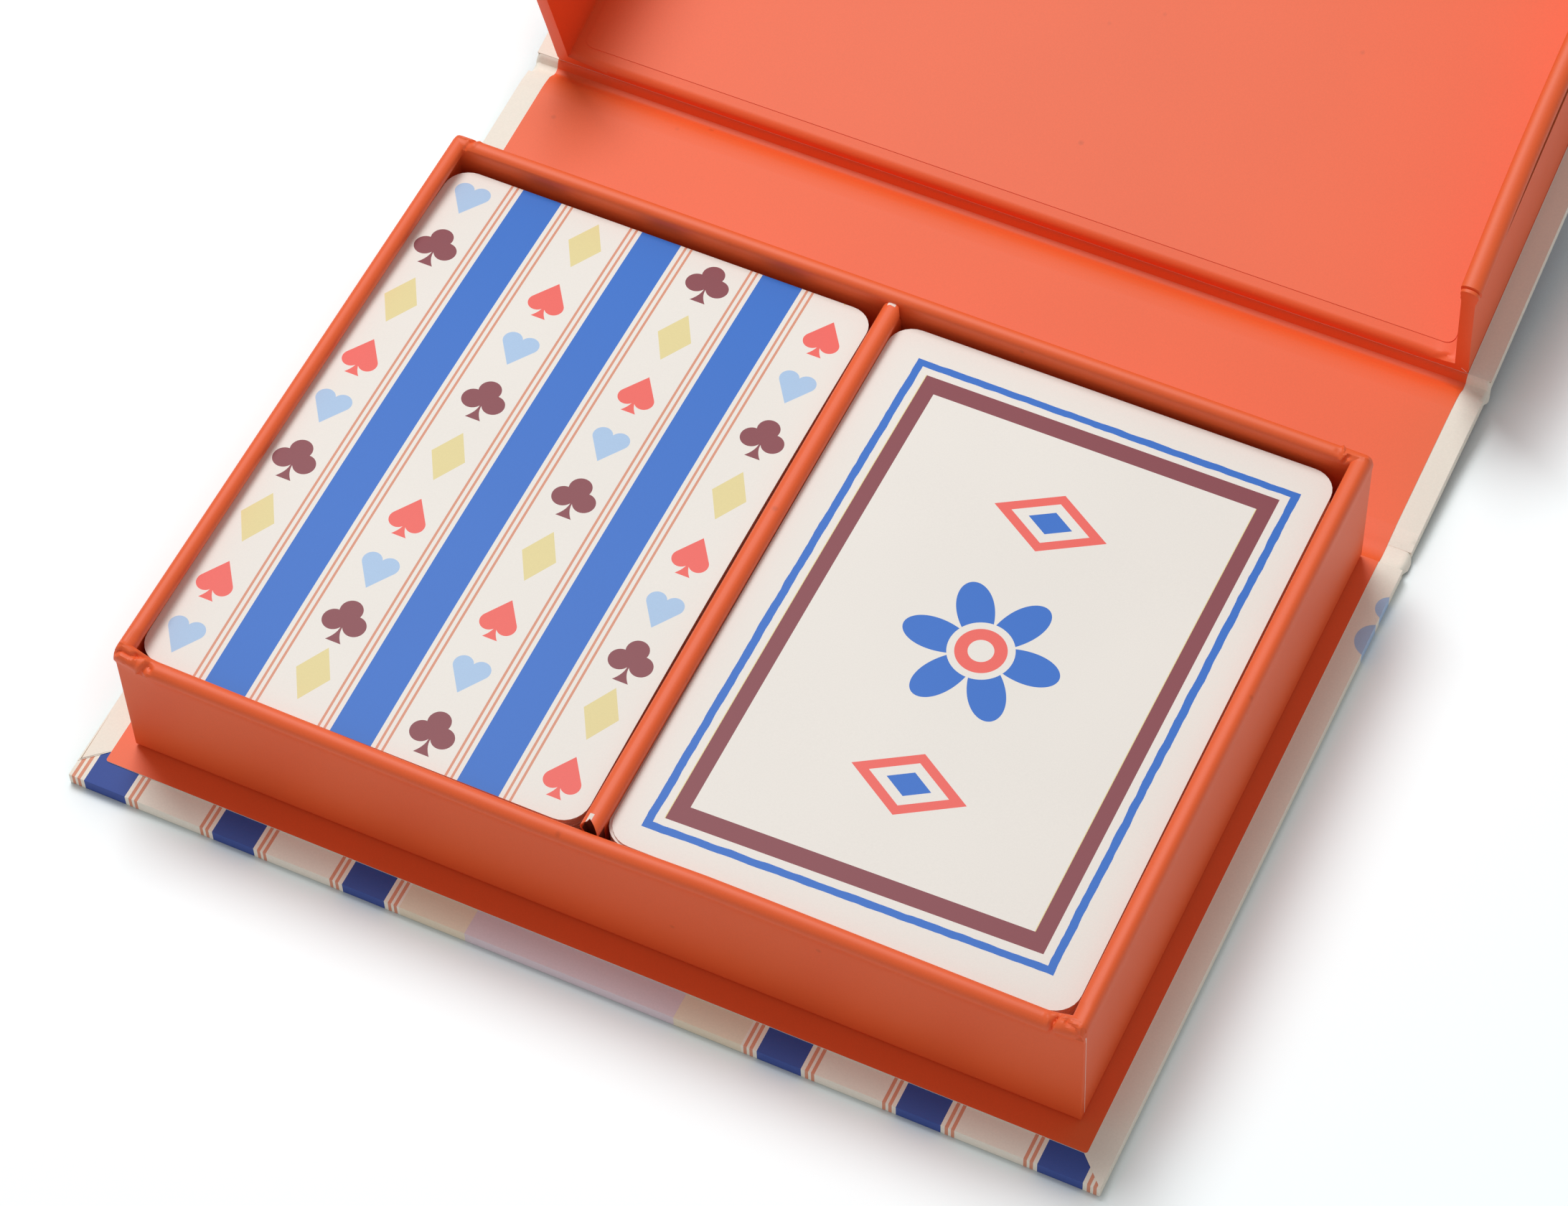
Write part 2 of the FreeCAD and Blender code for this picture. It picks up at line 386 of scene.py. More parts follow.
    def settle(self, place: PanelFrame, smooth: float) -> None:
        """Puts the finished mesh in its place in metres, with its object at the origin.

        Args:
            place: Frame of the panel that the piece was modelled on.
            smooth: Edges flatter than this angle are shaded smooth.
        """
        self.focus()
        self.item.matrix_world = Matrix.Scale(MM, 4) @ place.matrix()
        bpy.ops.object.transform_apply(location=True, rotation=True, scale=True)
        bpy.ops.object.shade_smooth_by_angle(angle=math.radians(smooth))

    def hand_over(
        self, body: str, slot: Slot, *nodes: str, place: PanelFrame = BASE_FRAME, smooth: float = 40.0
    ) -> None:
        """Puts the piece in its place and makes it ride on its body and stand for its nodes.

        Args:
            body: Body that carries it.
            slot: Material slot that it takes its finish from.
            nodes: Nodes that it replaces.
            place: Frame of the panel that it was modelled on.
            smooth: Edges flatter than this angle are shaded smooth.
        """
        self.settle(place, smooth)
        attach(self.item, body)
        self.register(body, slot, *nodes)

    def register(self, body: str, slot: Slot, *nodes: str) -> None:
        """Hides the nodes that the piece replaces, and logs it.

        Args:
            body: Body or bodies that carry it.
            slot: Not used.
            nodes: Nodes that it replaces.
        """
        if nodes:
            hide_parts(*nodes)
        log.info("%s rides on %s, %d faces", self.item.name, body, len(self.item.data.polygons))


# ---------------------------------------------------------------------------------------------
# Materials
# ---------------------------------------------------------------------------------------------


def linear(hex_colour: str) -> tuple[float, float, float, float]:
    """Turns an sRGB hex colour to linear.

    Args:
        hex_colour: Such as "#EE6038".

    Returns:
        Linear red, green, blue and an alpha of 1.
    """
    parts = [int(hex_colour[i : i + 2], 16) / 255 for i in (1, 3, 5)]
    channels = [c / 12.92 if c <= 0.04045 else ((c + 0.055) / 1.055) ** 2.4 for c in parts]
    return (*channels, 1.0)


def add_node(tree: bpy.types.NodeTree, kind: str, inputs: Any = (), out: Any = 0, **settings: Any) -> Any:
    """Adds a shader node.

    Args:
        tree: Node tree that it goes in.
        kind: Blender's name for it, without ShaderNode.
        inputs: Sockets or values, in the node's order or by name; None leaves one as it is.
        out: Which output is wanted.
        settings: The node's own settings.

    Returns:
        The wanted output socket.
    """
    node = tree.nodes.new(f"ShaderNode{kind}")
    for key, value in settings.items():
        setattr(node, key, value)
    pairs = inputs.items() if isinstance(inputs, dict) else enumerate(inputs)
    for key, value in pairs:
        if value is None:
            continue
        if isinstance(value, bpy.types.NodeSocket):
            tree.links.new(value, node.inputs[key])
        else:
            node.inputs[key].default_value = value
    return node.outputs[out]


@dataclass(frozen=True)
class Finish:
    """A paper or board surface: its colour, gloss, grain and how much its colour wanders."""

    name: str
    colour: str
    roughness: float
    specular: float = 0.5
    grain_mm: float = 0.25
    grain_depth_mm: float = 0.006
    blotch: float = 0.04
    speck: float = 0.0

    def start(self) -> bpy.types.Material:
        """A new material with an empty node tree.

        Returns:
            The material.
        """
        material = bpy.data.materials.new(self.name)
        material.use_nodes = True
        material.node_tree.nodes.clear()
        return material

    def place(self, tree: bpy.types.NodeTree) -> Any:
        """Object coordinates in millimetres.

        Args:
            tree: The material's tree.

        Returns:
            Vector socket.
        """
        here = add_node(tree, "TexCoord", out="Object")
        return add_node(tree, "VectorMath", {0: here, "Scale": 1 / MM}, operation="SCALE")

    def vary(self, tree: bpy.types.NodeTree, place: Any, colour: Any) -> Any:
        """Lets a colour wander as ink and pulp do.

        Args:
            tree: The material's tree.
            place: Place in millimetres.
            colour: Colour value or socket.

        Returns:
            Colour socket.
        """
        broad = add_node(tree, "TexNoise", {"Vector": place, "Scale": 0.035, "Detail": 2.0})
        fine = add_node(tree, "TexNoise", {"Vector": place, "Scale": 1.1 / self.grain_mm, "Detail": 1.0})
        both = add_node(tree, "Math", (broad, fine), operation="ADD")
        spread = {"From Min": 0.7, "From Max": 1.3, "To Min": 1 - self.blotch, "To Max": 1 + self.blotch}
        value = add_node(tree, "MapRange", {"Value": both, **spread})
        varied = add_node(tree, "HueSaturation", {"Value": value, "Color": colour})
        if not self.speck:
            return varied
        cell = add_node(tree, "TexVoronoi", {"Vector": place, "Scale": 0.11})
        spread = {"From Min": 0.02, "From Max": 0.06, "To Min": 1.0, "To Max": 0.0}
        spot = add_node(tree, "MapRange", {"Value": cell, **spread})
        strength = add_node(tree, "Math", (spot, self.speck), operation="MULTIPLY")
        dark = add_node(tree, "HueSaturation", {"Value": 0.62, "Color": varied})
        return add_node(tree, "Mix", {0: strength, 6: varied, 7: dark}, out=2, data_type="RGBA")

    def close(self, tree: bpy.types.NodeTree, place: Any, colour: Any) -> None:
        """Adds the shader, its grain and its output.

        Args:
            tree: The material's tree.
            place: Place in millimetres.
            colour: Colour socket.
        """
        grain = {"Vector": place, "Scale": 1 / self.grain_mm, "Detail": 3.0, "Roughness": 0.6}
        fibre = add_node(tree, "TexNoise", grain)
        relief = {"Strength": 1.0, "Distance": self.grain_depth_mm * MM, "Height": fibre}
        bump = add_node(tree, "Bump", relief)
        surface = {"Base Color": colour, "Roughness": self.roughness, "Specular IOR Level": self.specular}
        shader = add_node(tree, "BsdfPrincipled", {**surface, "Normal": bump})
        end = tree.nodes.new("ShaderNodeOutputMaterial")
        tree.links.new(shader, end.inputs["Surface"])

    def plain(self) -> bpy.types.Material:
        """The finished material without print.

        Returns:
            The material.
        """
        material = self.start()
        tree = material.node_tree
        place = self.place(tree)
        self.close(tree, place, self.vary(tree, place, linear(self.colour)))
        return material


class Suit(Enum):
    """The four traditional pips, in the order in which a column repeats them."""

    HEART = 0
    CLUB = 1
    DIAMOND = 2
    SPADE = 3


class Ink(Enum):
    """Printing inks as sRGB hex."""

    BLUE = "#256FCF"
    DEEP_BLUE = "#34509F"
    SALMON = "#E0977A"
    PALE_BLUE = "#AECBEC"
    MAROON = "#8A3F48"
    YELLOW = "#EBDB9C"
    CORAL = "#F7665C"
    LILAC = "#E3D5DC"
    CREAM = "#EFE3CB"


PIP_PRINTS = {
    Suit.HEART: (Ink.PALE_BLUE, 0.0, 1.04),
    Suit.CLUB: (Ink.MAROON, 0.57, 1.08),
    Suit.DIAMOND: (Ink.YELLOW, 0.25, 1.03),
    Suit.SPADE: (Ink.CORAL, -0.58, 1.02),
}


@dataclass(frozen=True)
class PipLayout:
    """Where the columns and rows of pips fall on a printed sheet."""

    first_column: float
    column_pitch: float
    first_row: float
    row_pitch: float
    drift: float = 0.0
    scale: float = 1.0


CARD_PIPS = PipLayout(-27.875, 18.135, 39.05, 9.9, 1.0)
# No row meets a hinge, where the paper bends.
COVER_PIPS = PipLayout(0.8, 19.1, 45.1, 15.0, scale=1.15)


@dataclass(frozen=True)
class Reading:
    """A number that varies over the paper. Arithmetic on it adds the nodes that work it out."""

    tree: bpy.types.NodeTree
    socket: Any

    def step(self, operation: str, *others: Any) -> "Reading":
        """What an operation makes of this reading and others or plain numbers.

        Args:
            operation: Blender's name for it.
            others: The operation's other inputs.

        Returns:
            The new reading.
        """
        inputs = [part.socket if isinstance(part, Reading) else part for part in (self, *others)]
        return Reading(self.tree, add_node(self.tree, "Math", inputs, operation=operation))

    def __add__(self, other: Any) -> "Reading":
        """Sum."""
        return self.step("ADD", other)

    def __sub__(self, other: Any) -> "Reading":
        """Difference."""
        return self.step("SUBTRACT", other)

    def __rsub__(self, other: float) -> "Reading":
        """A plain number less this."""
        return self.step("MULTIPLY_ADD", -1.0, other)

    def __mul__(self, other: Any) -> "Reading":
        """Product; of two masks, where both are 1."""
        return self.step("MULTIPLY", other)

    def __truediv__(self, other: float) -> "Reading":
        """Quotient."""
        return self.step("DIVIDE", other)

    def __mod__(self, other: float) -> "Reading":
        """Remainder."""
        return self.step("FLOORED_MODULO", other)

    def __abs__(self) -> "Reading":
        """Size without sign."""
        return self.step("ABSOLUTE")

    def __gt__(self, other: Any) -> "Reading":
        """Mask: 1 where this is more, else 0."""
        return self.step("GREATER_THAN", other)

    def __lt__(self, other: Any) -> "Reading":
        """Mask: 1 where this is less, else 0."""
        return self.step("LESS_THAN", other)

    def above(self, other: Any) -> "Reading":
        """The larger of two; of two masks, where either is 1."""
        return self.step("MAXIMUM", other)

    def below(self, other: Any) -> "Reading":
        """The smaller of two."""
        return self.step("MINIMUM", other)

    def whole(self) -> "Reading":
        """The nearest whole number."""
        return self.step("ROUND")

    def within(self, low: float, high: float) -> "Reading":
        """Mask: 1 between two limits, else 0."""
        return (self > low) * (self < high)


@dataclass(frozen=True)
class Spot:
    """A place on the printed paper: across, along and up, in millimetres."""

    u: Reading
    v: Reading
    up: Reading


def paired(u: Reading, v: Reading) -> Any:
    """A vector socket from a place across and a place along."""
    return add_node(u.tree, "CombineXYZ", (u.socket, v.socket, 0.0))


def depth_in_disc(u: Reading, v: Reading, centre: tuple[float, float], radius: float) -> Reading:
    """Depth inside a circle; negative outside.

    Args:
        u: Across.
        v: Up.
        centre: The circle's centre.
        radius: Its radius.

    Returns:
        The depth.
    """
    ends = (paired(u, v), (*centre, 0.0))
    away = add_node(u.tree, "VectorMath", ends, out="Value", operation="DISTANCE")
    return radius - Reading(u.tree, away)


def depth_in_heart(side: Reading, v: Reading) -> Reading:
    """Depth inside a heart 5 mm wide.

    Args:
        side: Distance off its middle line.
        v: Height over its middle.

    Returns:
        The depth.
    """
    lobe = depth_in_disc(side, v, (1.2, 1.25), 1.3)
    flank = v * 0.7067 + 1.908 - side
    shoulder = side * -0.487 + 1.6 - v
    return lobe.above(flank.below(shoulder))


def depth_in_stem(side: Reading, v: Reading) -> Reading:
    """Depth inside the flared foot of a spade or a club.

    Args:
        side: Distance off its middle line.
        v: Height over its middle.

    Returns:
        The depth.
    """
    drop = -1.0 - v
    across = drop * drop * 0.2 + 0.12 - side
    return across.below((v + 3.15).below(0.2 - v))


def depth_in_pip(suit: Suit, side: Reading, v: Reading) -> Reading:
    """Depth inside one suit's shape.

    Args:
        suit: Which one.
        side: Distance off its middle line.
        v: Height over its middle.

    Returns:
        The depth.
    """
    if suit is Suit.HEART:
        return depth_in_heart(side, v)
    if suit is Suit.DIAMOND:
        return 1.0 - (side * (1 / 2.4) + abs(v) * (1 / 4.1))
    if suit is Suit.SPADE:
        return depth_in_heart(side, 0.45 - v).above(depth_in_stem(side, v))
    top = depth_in_disc(side, v, (0.0, 1.58), 1.45)
    flank = depth_in_disc(side, v, (1.4, -0.3), 1.45)
    middle = depth_in_disc(side, v, (0.0, 0.3), 0.85)
    return top.above(flank).above(middle).above(depth_in_stem(side, v))


@dataclass(frozen=True)
class Printer:
    """Puts flat inks on a paper in one material tree."""

    tree: bpy.types.NodeTree

    def lay(self, under: Any, mask: Reading, over: Any) -> Any:
        """Prints an ink, or shows another colour, over a colour where a mask is 1."""
        inputs = {0: mask.socket, 6: under, 7: linear(over.value) if isinstance(over, Ink) else over}
        return add_node(self.tree, "Mix", inputs, out=2, data_type="RGBA")

    def sunk(self, column: Reading, row: Reading, layout: PipLayout) -> Reading:
        """How far a pip sits below its place in the even rows, for the pattern was set by hand.

        Args:
            column: Number of its column.
            row: Number of its row.
            layout: Where the pips go.

        Returns:
            The distance.
        """
        odd = column % 2.0
        down = column * 0.22 + odd * 0.75
        first_late = column * 0.5 + (row - 6.8)
        for late, rise in ((0.0, 0.93), (1.0, 1.57), (2.0, 0.55)):
            down = down - (first_late > late) * rise * odd
        return down * layout.drift

    def pip_rows(self, colour: Any, u: Reading, v: Reading, layout: PipLayout) -> Any:
        """Prints columns of pips that cycle through the suits.

        Args:
            colour: What is printed on.
            u: Across, from the pattern's middle.
            v: Up, from the pattern's middle.
            layout: Where the pips go.

        Returns:
            Colour socket.
        """
        across = (u - layout.first_column) / layout.column_pitch
        column = across.whole()
        side = abs((across - column) * layout.column_pitch)
        along = (v - layout.first_row) / -layout.row_pitch
        sunk = self.sunk(column, along - 0.05, layout)
        row = (along - sunk / layout.row_pitch).whole()
        height = (row - along) * layout.row_pitch + self.sunk(column, row, layout)
        pair = (column * 0.5).step("FLOOR")
        order = (column * 2.0 + row + pair) % 4.0
        for suit in Suit:
            ink, lift, size = PIP_PRINTS[suit]
            size *= layout.scale
            shape = depth_in_pip(suit, side * (1 / size), (height - lift * layout.scale) * (1 / size))
            mine = order.within(suit.value - 0.5, suit.value + 0.5)
            colour = self.lay(colour, (shape > 0.0) * mine, ink)
        return colour

    def stripe(self, colour: Any, off: Reading, half_width: float, ink: Ink, line_half: float = 0.17) -> Any:
        """Prints a stripe with two thin lines beside it.

        Args:
            colour: What is printed on.
            off: Distance from the stripe's middle line.
            half_width: Half the stripe's width.
            ink: The stripe's ink.
            line_half: Half the thin lines' width.

        Returns:
            Colour socket.
        """
        colour = self.lay(colour, off < half_width, ink)
        for line in (half_width + 0.78, half_width + 1.62):
            colour = self.lay(colour, off.within(line - line_half, line + line_half), Ink.SALMON)
        return colour


@dataclass(frozen=True)
class PrintedFinish(Finish):
    """A finish with a printed pattern that is centred on a place of the box."""

    centre: tuple[float, float] = (0.0, 0.0)

    def printed(self, draw: Callable[[Printer, Any, Spot], Any]) -> bpy.types.Material:
        """The finished material with its print.

        Args:
            draw: Takes the printer, the ground colour and the place.

        Returns:
            The material.
        """
        material = self.start()
        tree = material.node_tree
        place = self.place(tree)
        shift = (-self.centre[0], -self.centre[1], 0.0)
        centred = add_node(tree, "Mapping", {"Vector": place, "Location": shift})
        apart = tree.nodes.new("ShaderNodeSeparateXYZ")
        tree.links.new(centred, apart.inputs[0])
        ground = add_node(tree, "RGB")
        ground.default_value = linear(self.colour)
        inked = draw(Printer(tree), ground, Spot(*(Reading(tree, part) for part in apart.outputs)))
        self.close(tree, place, self.vary(tree, place, inked))
        return material


CARD_STRIPE_PITCH = 18.1
COVER_STRIPE_PITCH = 19.1


def card_back(printer: Printer, colour: Any, spot: Spot) -> Any:
    """Striped card back with columns of pips.

    Args:
        printer: Lays the inks.
        colour: Ground colour.
        spot: Place on the card.

    Returns:
        Colour socket.
    """
    colour = printer.pip_rows(colour, spot.u, spot.v, CARD_PIPS)
    period = (spot.u + 18.95) / CARD_STRIPE_PITCH
    off = abs((period - period.whole().below(2.0)) * CARD_STRIPE_PITCH)
    return printer.stripe(colour, off, 2.93, Ink.BLUE)


def frame_band(u: Reading, v: Reading, half: tuple[float, float], widths: tuple[float, float]) -> Reading:
    """Mask of a plain rectangular frame line.

    Args:
        u: Across the card.
        v: Along the card.
        half: Half width and half length of its outer edge.
        widths: Widths of its upright and its level lines.

    Returns:
        The mask.
    """
    over_u, over_v = abs(u) - half[0], abs(v) - half[1]
    past_inner = (over_u + widths[0]).above(over_v + widths[1]) > 0.0
    return (over_u.above(over_v) < 0.0) * past_inner


def card_face(printer: Printer, colour: Any, spot: Spot) -> Any:
    """Framed card face with a plain rosette.

    Args:
        printer: Lays the inks.
        colour: Ground colour.
        spot: Place on the card.

    Returns:
        Colour socket.
    """
    u, v = spot.u, spot.v
    # The frames were drawn by hand, so their lines sway and narrow a little.
    wander = add_node(printer.tree, "TexNoise", {"Vector": paired(u, v), "Scale": 0.35, "Detail": 2.0})
    sway = Reading(printer.tree, wander) * 0.36 - 0.18
    drawn_u = (u - (v * 0.009 + 0.09)) * (v * 0.00013 + 1.0)
    drawn_v = (v * -1.0).above(0.0) * u * -0.00066 + (v + 0.27)
    outer = frame_band(drawn_u + sway, drawn_v - sway, (27.37, 40.1), (1.08, 1.05))
    colour = printer.lay(colour, outer, Ink.BLUE)
    inner_v = u * -0.004 + (drawn_v - 0.05)
    for off, ink in ((0.11, Ink.YELLOW), (0.0, Ink.MAROON)):
        band = frame_band(drawn_u + off, inner_v, (25.15, 37.95), (2.15, 2.6))
        colour = printer.lay(colour, band, ink)
    away = add_node(printer.tree, "VectorMath", (paired(u, v),), out="Value", operation="LENGTH")
    radius = Reading(printer.tree, away)
    petal = abs((v.step("ARCTAN2", u) * 3.0).step("COSINE"))
    flower = (radius < petal * 7.2 + 3.6) * (radius > 4.4)
    colour = printer.lay(colour, flower, Ink.BLUE)
    colour = printer.lay(colour, radius.within(1.7, 3.4), Ink.CORAL)
    for height in (-22.0, 22.0):
        depth = abs(u) * 0.62 + abs(v - height)
        colour = printer.lay(colour, depth.within(3.4, 4.9), Ink.CORAL)
        colour = printer.lay(colour, depth.within(-1.0, 1.9), Ink.BLUE)
    return colour


def cover_print(printer: Printer, colour: Any, spot: Spot) -> Any:
    """Striped cover paper with pips and a bare label field in the middle.

    Args:
        printer: Lays the inks.
        colour: Ground colour.
        spot: Place on the box.

    Returns:
        Colour socket.
    """
    outside = (spot.up < 1.0).above(spot.v > 20.0)
    pips = printer.pip_rows(colour, abs(spot.u), spot.v, COVER_PIPS)
    return stripe_print(printer, printer.lay(colour, outside, pips), spot)


def stripe_print(printer: Printer, colour: Any, spot: Spot) -> Any:
    """Stripes and a bare label field, without pips, as they run over a hinge.

    Args:
        printer: Lays the inks.
        colour: Ground colour.
        spot: Place on the box.

    Returns:
        Colour socket.
    """
    side = abs(spot.u)
    period = (side - 29.45) / COVER_STRIPE_PITCH
    off = abs((period - period.whole()) * COVER_STRIPE_PITCH)
    colour = printer.stripe(colour, off, 3.05, Ink.DEEP_BLUE, 0.23)
    colour = printer.lay(colour, side < 24.2, Ink.CREAM)
    return printer.lay(colour, side < 14.8, Ink.LILAC)


def bleed_print(printer: Printer, colour: Any, spot: Spot) -> Any:
    """The last of a pip, cut off where the printed part ends at the right edge.

    Args:
        printer: Lays the inks.
        colour: Ground colour.
        spot: Place on the box.

    Returns:
        Colour socket.
    """
    first = depth_in_disc(spot.u, spot.v, (73.75, 44.3), 1.95)
    second = depth_in_disc(spot.u, spot.v, (73.9, 38.6), 2.75)
    return printer.lay(colour, first.above(second) > 0.0, Ink.PALE_BLUE)


class Palette:
    """All the finished materials of the box."""

    def __init__(self) -> None:
        """Makes each material once."""
        # Art paper, coated and laminated with a satin film, printed solid orange. The film gives
        # a soft broad sheen over a strong, even colour with a faint orange-peel grain.
        self.orange = Finish("orange_satin_art_paper", "#F36531", 0.5, 0.45, 0.22, 0.004, 0.03, 0.5).plain()
        # Uncoated book paper, offset printed. It looks matt and slightly warm, with pulp grain.
        paper = ("#F4EFE1", 0.62, 0.4, 0.3, 0.006, 0.03)
        self.cover = PrintedFinish("offset_printed_cover_paper", *paper).printed(cover_print)
        self.cover_fold = PrintedFinish("offset_printed_hinge_paper", *paper).printed(stripe_print)
        self.cover_plain = PrintedFinish("cream_cover_paper", *paper).printed(bleed_print)
        # Coated playing card stock, die cut and varnished: smooth, cream white, a faint gloss.
        card = ("#F2ECE4", 0.5, 0.38, 0.2, 0.003, 0.02)
        self.card_edge = Finish("die_cut_card_stock", "#EFE6DB", 0.7, 0.3, 0.12, 0.01, 0.05).plain()
        back = PrintedFinish("varnished_card_back", *card, centre=(-33.525, 3.85))
        self.card_back = back.printed(card_back)
        face = PrintedFinish("varnished_card_face", *card, centre=(32.6, 3.5))
        self.card_face = face.printed(card_face)
        # Greyboard: pressed waste-paper pulp, cut with a guillotine. Matt, grey-brown, flecked.
        self.board = Finish("pressed_greyboard", "#8C8274", 0.9, 0.2, 0.5, 0.03, 0.18).plain()
        # Bare paper where the sheet is cut or torn: white fibres, quite matt.
        self.core = Finish("torn_paper_core", "#F3E4DA", 0.85, 0.2, 0.1, 0.01, 0.06).plain()
        # The back of the printed paper in the open end of a fold, painted dark brown as the shade that falls
        # inside that end. Matt.
        self.reverse = Finish("paper_back_painted_shade", "#7A3A2A", 0.85, 0.2, 0.3, 0.02, 0.1).plain()


# ---------------------------------------------------------------------------------------------
# Case panels
# ---------------------------------------------------------------------------------------------


@dataclass(frozen=True)
class Mitre:
    """Line of a mitred turn-in: how steep it runs and how far from the corner it starts."""

    slope: float
    lift: float


LEFT_MITRE = Mitre(0.9, 2.3)
RIGHT_MITRE = Mitre(1.46, 0.0)


@dataclass
class CasePanel:
    """A covered and lined panel of the case, modelled flat in its own frame."""

    body: str
    place: PanelFrame
    y_low: float
    y_high: float
    near_hinged: bool
    far_hinged: bool
    palette: Palette
    sizes: BoxSizes = SIZES
    edge_radius: float = 0.88
    overlap: float = 0.09

    def build(self) -> None:
        """Builds the cover and the liner, and the spine's board with its pressed edges."""
        self.build_cover()
        self.build_liner()
        if self.body == "spine":
            self.build_board()

    def build_board(self) -> None:
        """The board, its top pressed down along the hinges."""
        s = self.sizes
        half = s.panel_half_width - s.cover_paper - 0.01
        low, high = (-half, self.y_low, s.cover_paper), (half, self.y_high, s.board_top - 0.01)
        board = Workpiece.block(f"{self.body}_board_core", low, high)
        self.soften_ends(board, 1.0)
        board.dress(self.palette.board)
        board.hand_over(self.body, Slot.BOARD, f"{self.body}_board", place=self.place)

    def build_cover(self) -> None:
        """The printed paper: outside, edges and turn-ins, with mitred corners."""
        s = self.sizes
        half = s.panel_half_width
        ends = self.free_ends()
        cover = Workpiece.block(
            f"{self.body}_cover_paper", (-half, self.y_low, 0.0), (half, self.y_high, s.turn_in_top)
        )
        window_half = half - s.turn_in
        cover.split("X", (-window_half, window_half))
        cover.split("Y", [end + inward * s.turn_in for end, inward in ends])
        for end, inward in ends:
            for side in (-1, 1):
                mitre = RIGHT_MITRE if side > 0 else LEFT_MITRE
                start = (side * half, end + inward * mitre.lift)
                self.cut_mitre(cover, start, (-side, mitre.slope * inward))
        with cover.faces(lambda c, n: n.z > 0.5 and self.on_side_turn_in(c)):
            bpy.ops.mesh.extrude_region_move(TRANSFORM_OT_translate={"value": (0, 0, self.overlap)})

        def window(c: Vector, n: Vector) -> bool:
            """Whether a face lies inside the turn-ins."""
            return n.z > 0.5 and abs(c.x) < window_half and self.clear_of_ends(c, s.turn_in)

        def hinged_end(c: Vector, n: Vector) -> bool:
            """Whether a face closes an end that runs on into a hinge."""
            return abs(n.y) > 0.9 and self.clear_of_ends(c, s.turn_in)

        with cover.faces(lambda c, n: window(c, n) or hinged_end(c, n)):
            bpy.ops.mesh.delete(type="FACE")
        self.round_edges(cover)
        self.soften_ends(cover, 1.5)
        cover.modifier("SOLIDIFY", thickness=s.cover_paper, offset=-1.0, use_even_offset=True)
        cover.dress(self.palette.cover, self.palette.cover_plain, self.palette.core)

        def plain(c: Vector, n: Vector) -> bool:
            """Whether a face belongs to the unprinted side turn-ins and side edges."""
            side_edge = abs(c.x) > half - 0.6 and c.z > 0.4 and self.clear_of_ends(c, 2.0)
            return side_edge or self.on_side_turn_in(c) and c.z > s.cover_paper + 0.02

        cover.dress_faces(1, plain)
        cover.hand_over(self.body, Slot.COVER, f"{self.body}_cover", place=self.place)

    def free_ends(self) -> list[tuple[float, float]]:
        """The ends that turn in, each with its inward direction."""
        near = [] if self.near_hinged else [(self.y_low, 1.0)]
        return near + ([] if self.far_hinged else [(self.y_high, -1.0)])

    def clear_of_ends(self, c: Vector, margin: float) -> bool:
        """Whether a point is further than a margin from the ends that turn in."""
        return all((c.y - end) * inward > margin for end, inward in self.free_ends())

    def on_side_turn_in(self, c: Vector) -> bool:
        """Whether a face centre lies on a side turn-in, past the mitres.

        Args:
            c: The face's centre.

        Returns:
            True on a side turn-in.
        """
        deep = self.sizes.panel_half_width - abs(c.x)
        mitre = RIGHT_MITRE if c.x > 0 else LEFT_MITRE
        past = mitre.lift + mitre.slope * deep + 0.001
        return deep <= self.sizes.turn_in and self.clear_of_ends(c, past)

    def cut_mitre(self, cover: Workpiece, start: tuple[float, float], along: tuple[float, float]) -> None:
        """Cuts the line of a mitred corner into the turn-in.

        Args:
            cover: The cover under way.
            start: Where the line starts, at the corner.
            along: Which way it runs.
        """
        s = self.sizes
        reach = s.turn_in + 6

        def corner(c: Vector, n: Vector) -> bool:
            """Whether a face of the turn-ins is on this corner's side."""
            near = abs(c.x - start[0]) < reach and abs(c.y - start[1]) < s.panel_back * 2
            return near and n.z > 0.5 and abs(c.x) > s.panel_half_width - s.turn_in

        cover.cut((*start, 0.0), (-along[1], along[0], 0.0), corner)

    def soften_ends(self, piece: Workpiece, level: float) -> None:
        """Lets the top sink towards a hinge, as board and paper are pressed down there.

        Args:
            piece: The piece under way.
            level: What lies higher than this moves.
        """
        if self.body != "spine":
            return
        for end, inward, drop in ((self.y_low, 1.0, 0.3), (self.y_high, -1.0, 0.34)):
            piece.split("Y", (end + 3.0 * inward, end + 1.5 * inward))
            for reach, share in ((0.001, 1.0), (1.501, 0.36)):
                with piece.points(lambda c: reach - 0.01 < abs(c.y - end) < reach and c.z > level):
                    bpy.ops.transform.translate(value=(0, 0, -drop * share))

    def round_edges(self, cover: Workpiece) -> None:
        """Rounds the paper where it turns over the board's edges.

        Args:
            cover: The cover under way.
        """
        s = self.sizes

        def turned_over(m: Vector, d: Vector) -> bool:
            """Whether an edge of the block is one that the paper turns over.

            Args:
                m: The edge's middle.
                d: Its direction.

            Returns:
                True on such an edge.
            """
            at_side = abs(abs(m.x) - s.panel_half_width) < 0.001
            at_end = not self.clear_of_ends(m, 0.001)
            level = m.z < 0.001 or m.z > s.turn_in_top - 0.001
            if abs(d.z) > 0.9:
                return at_side and at_end
            return level and (at_side if abs(d.y) > 0.9 else at_end and abs(d.x) > 0.9)

        with cover.edges(turned_over):
            bpy.ops.mesh.bevel(offset=self.edge_radius, segments=4, affect="EDGES", clamp_overlap=True)

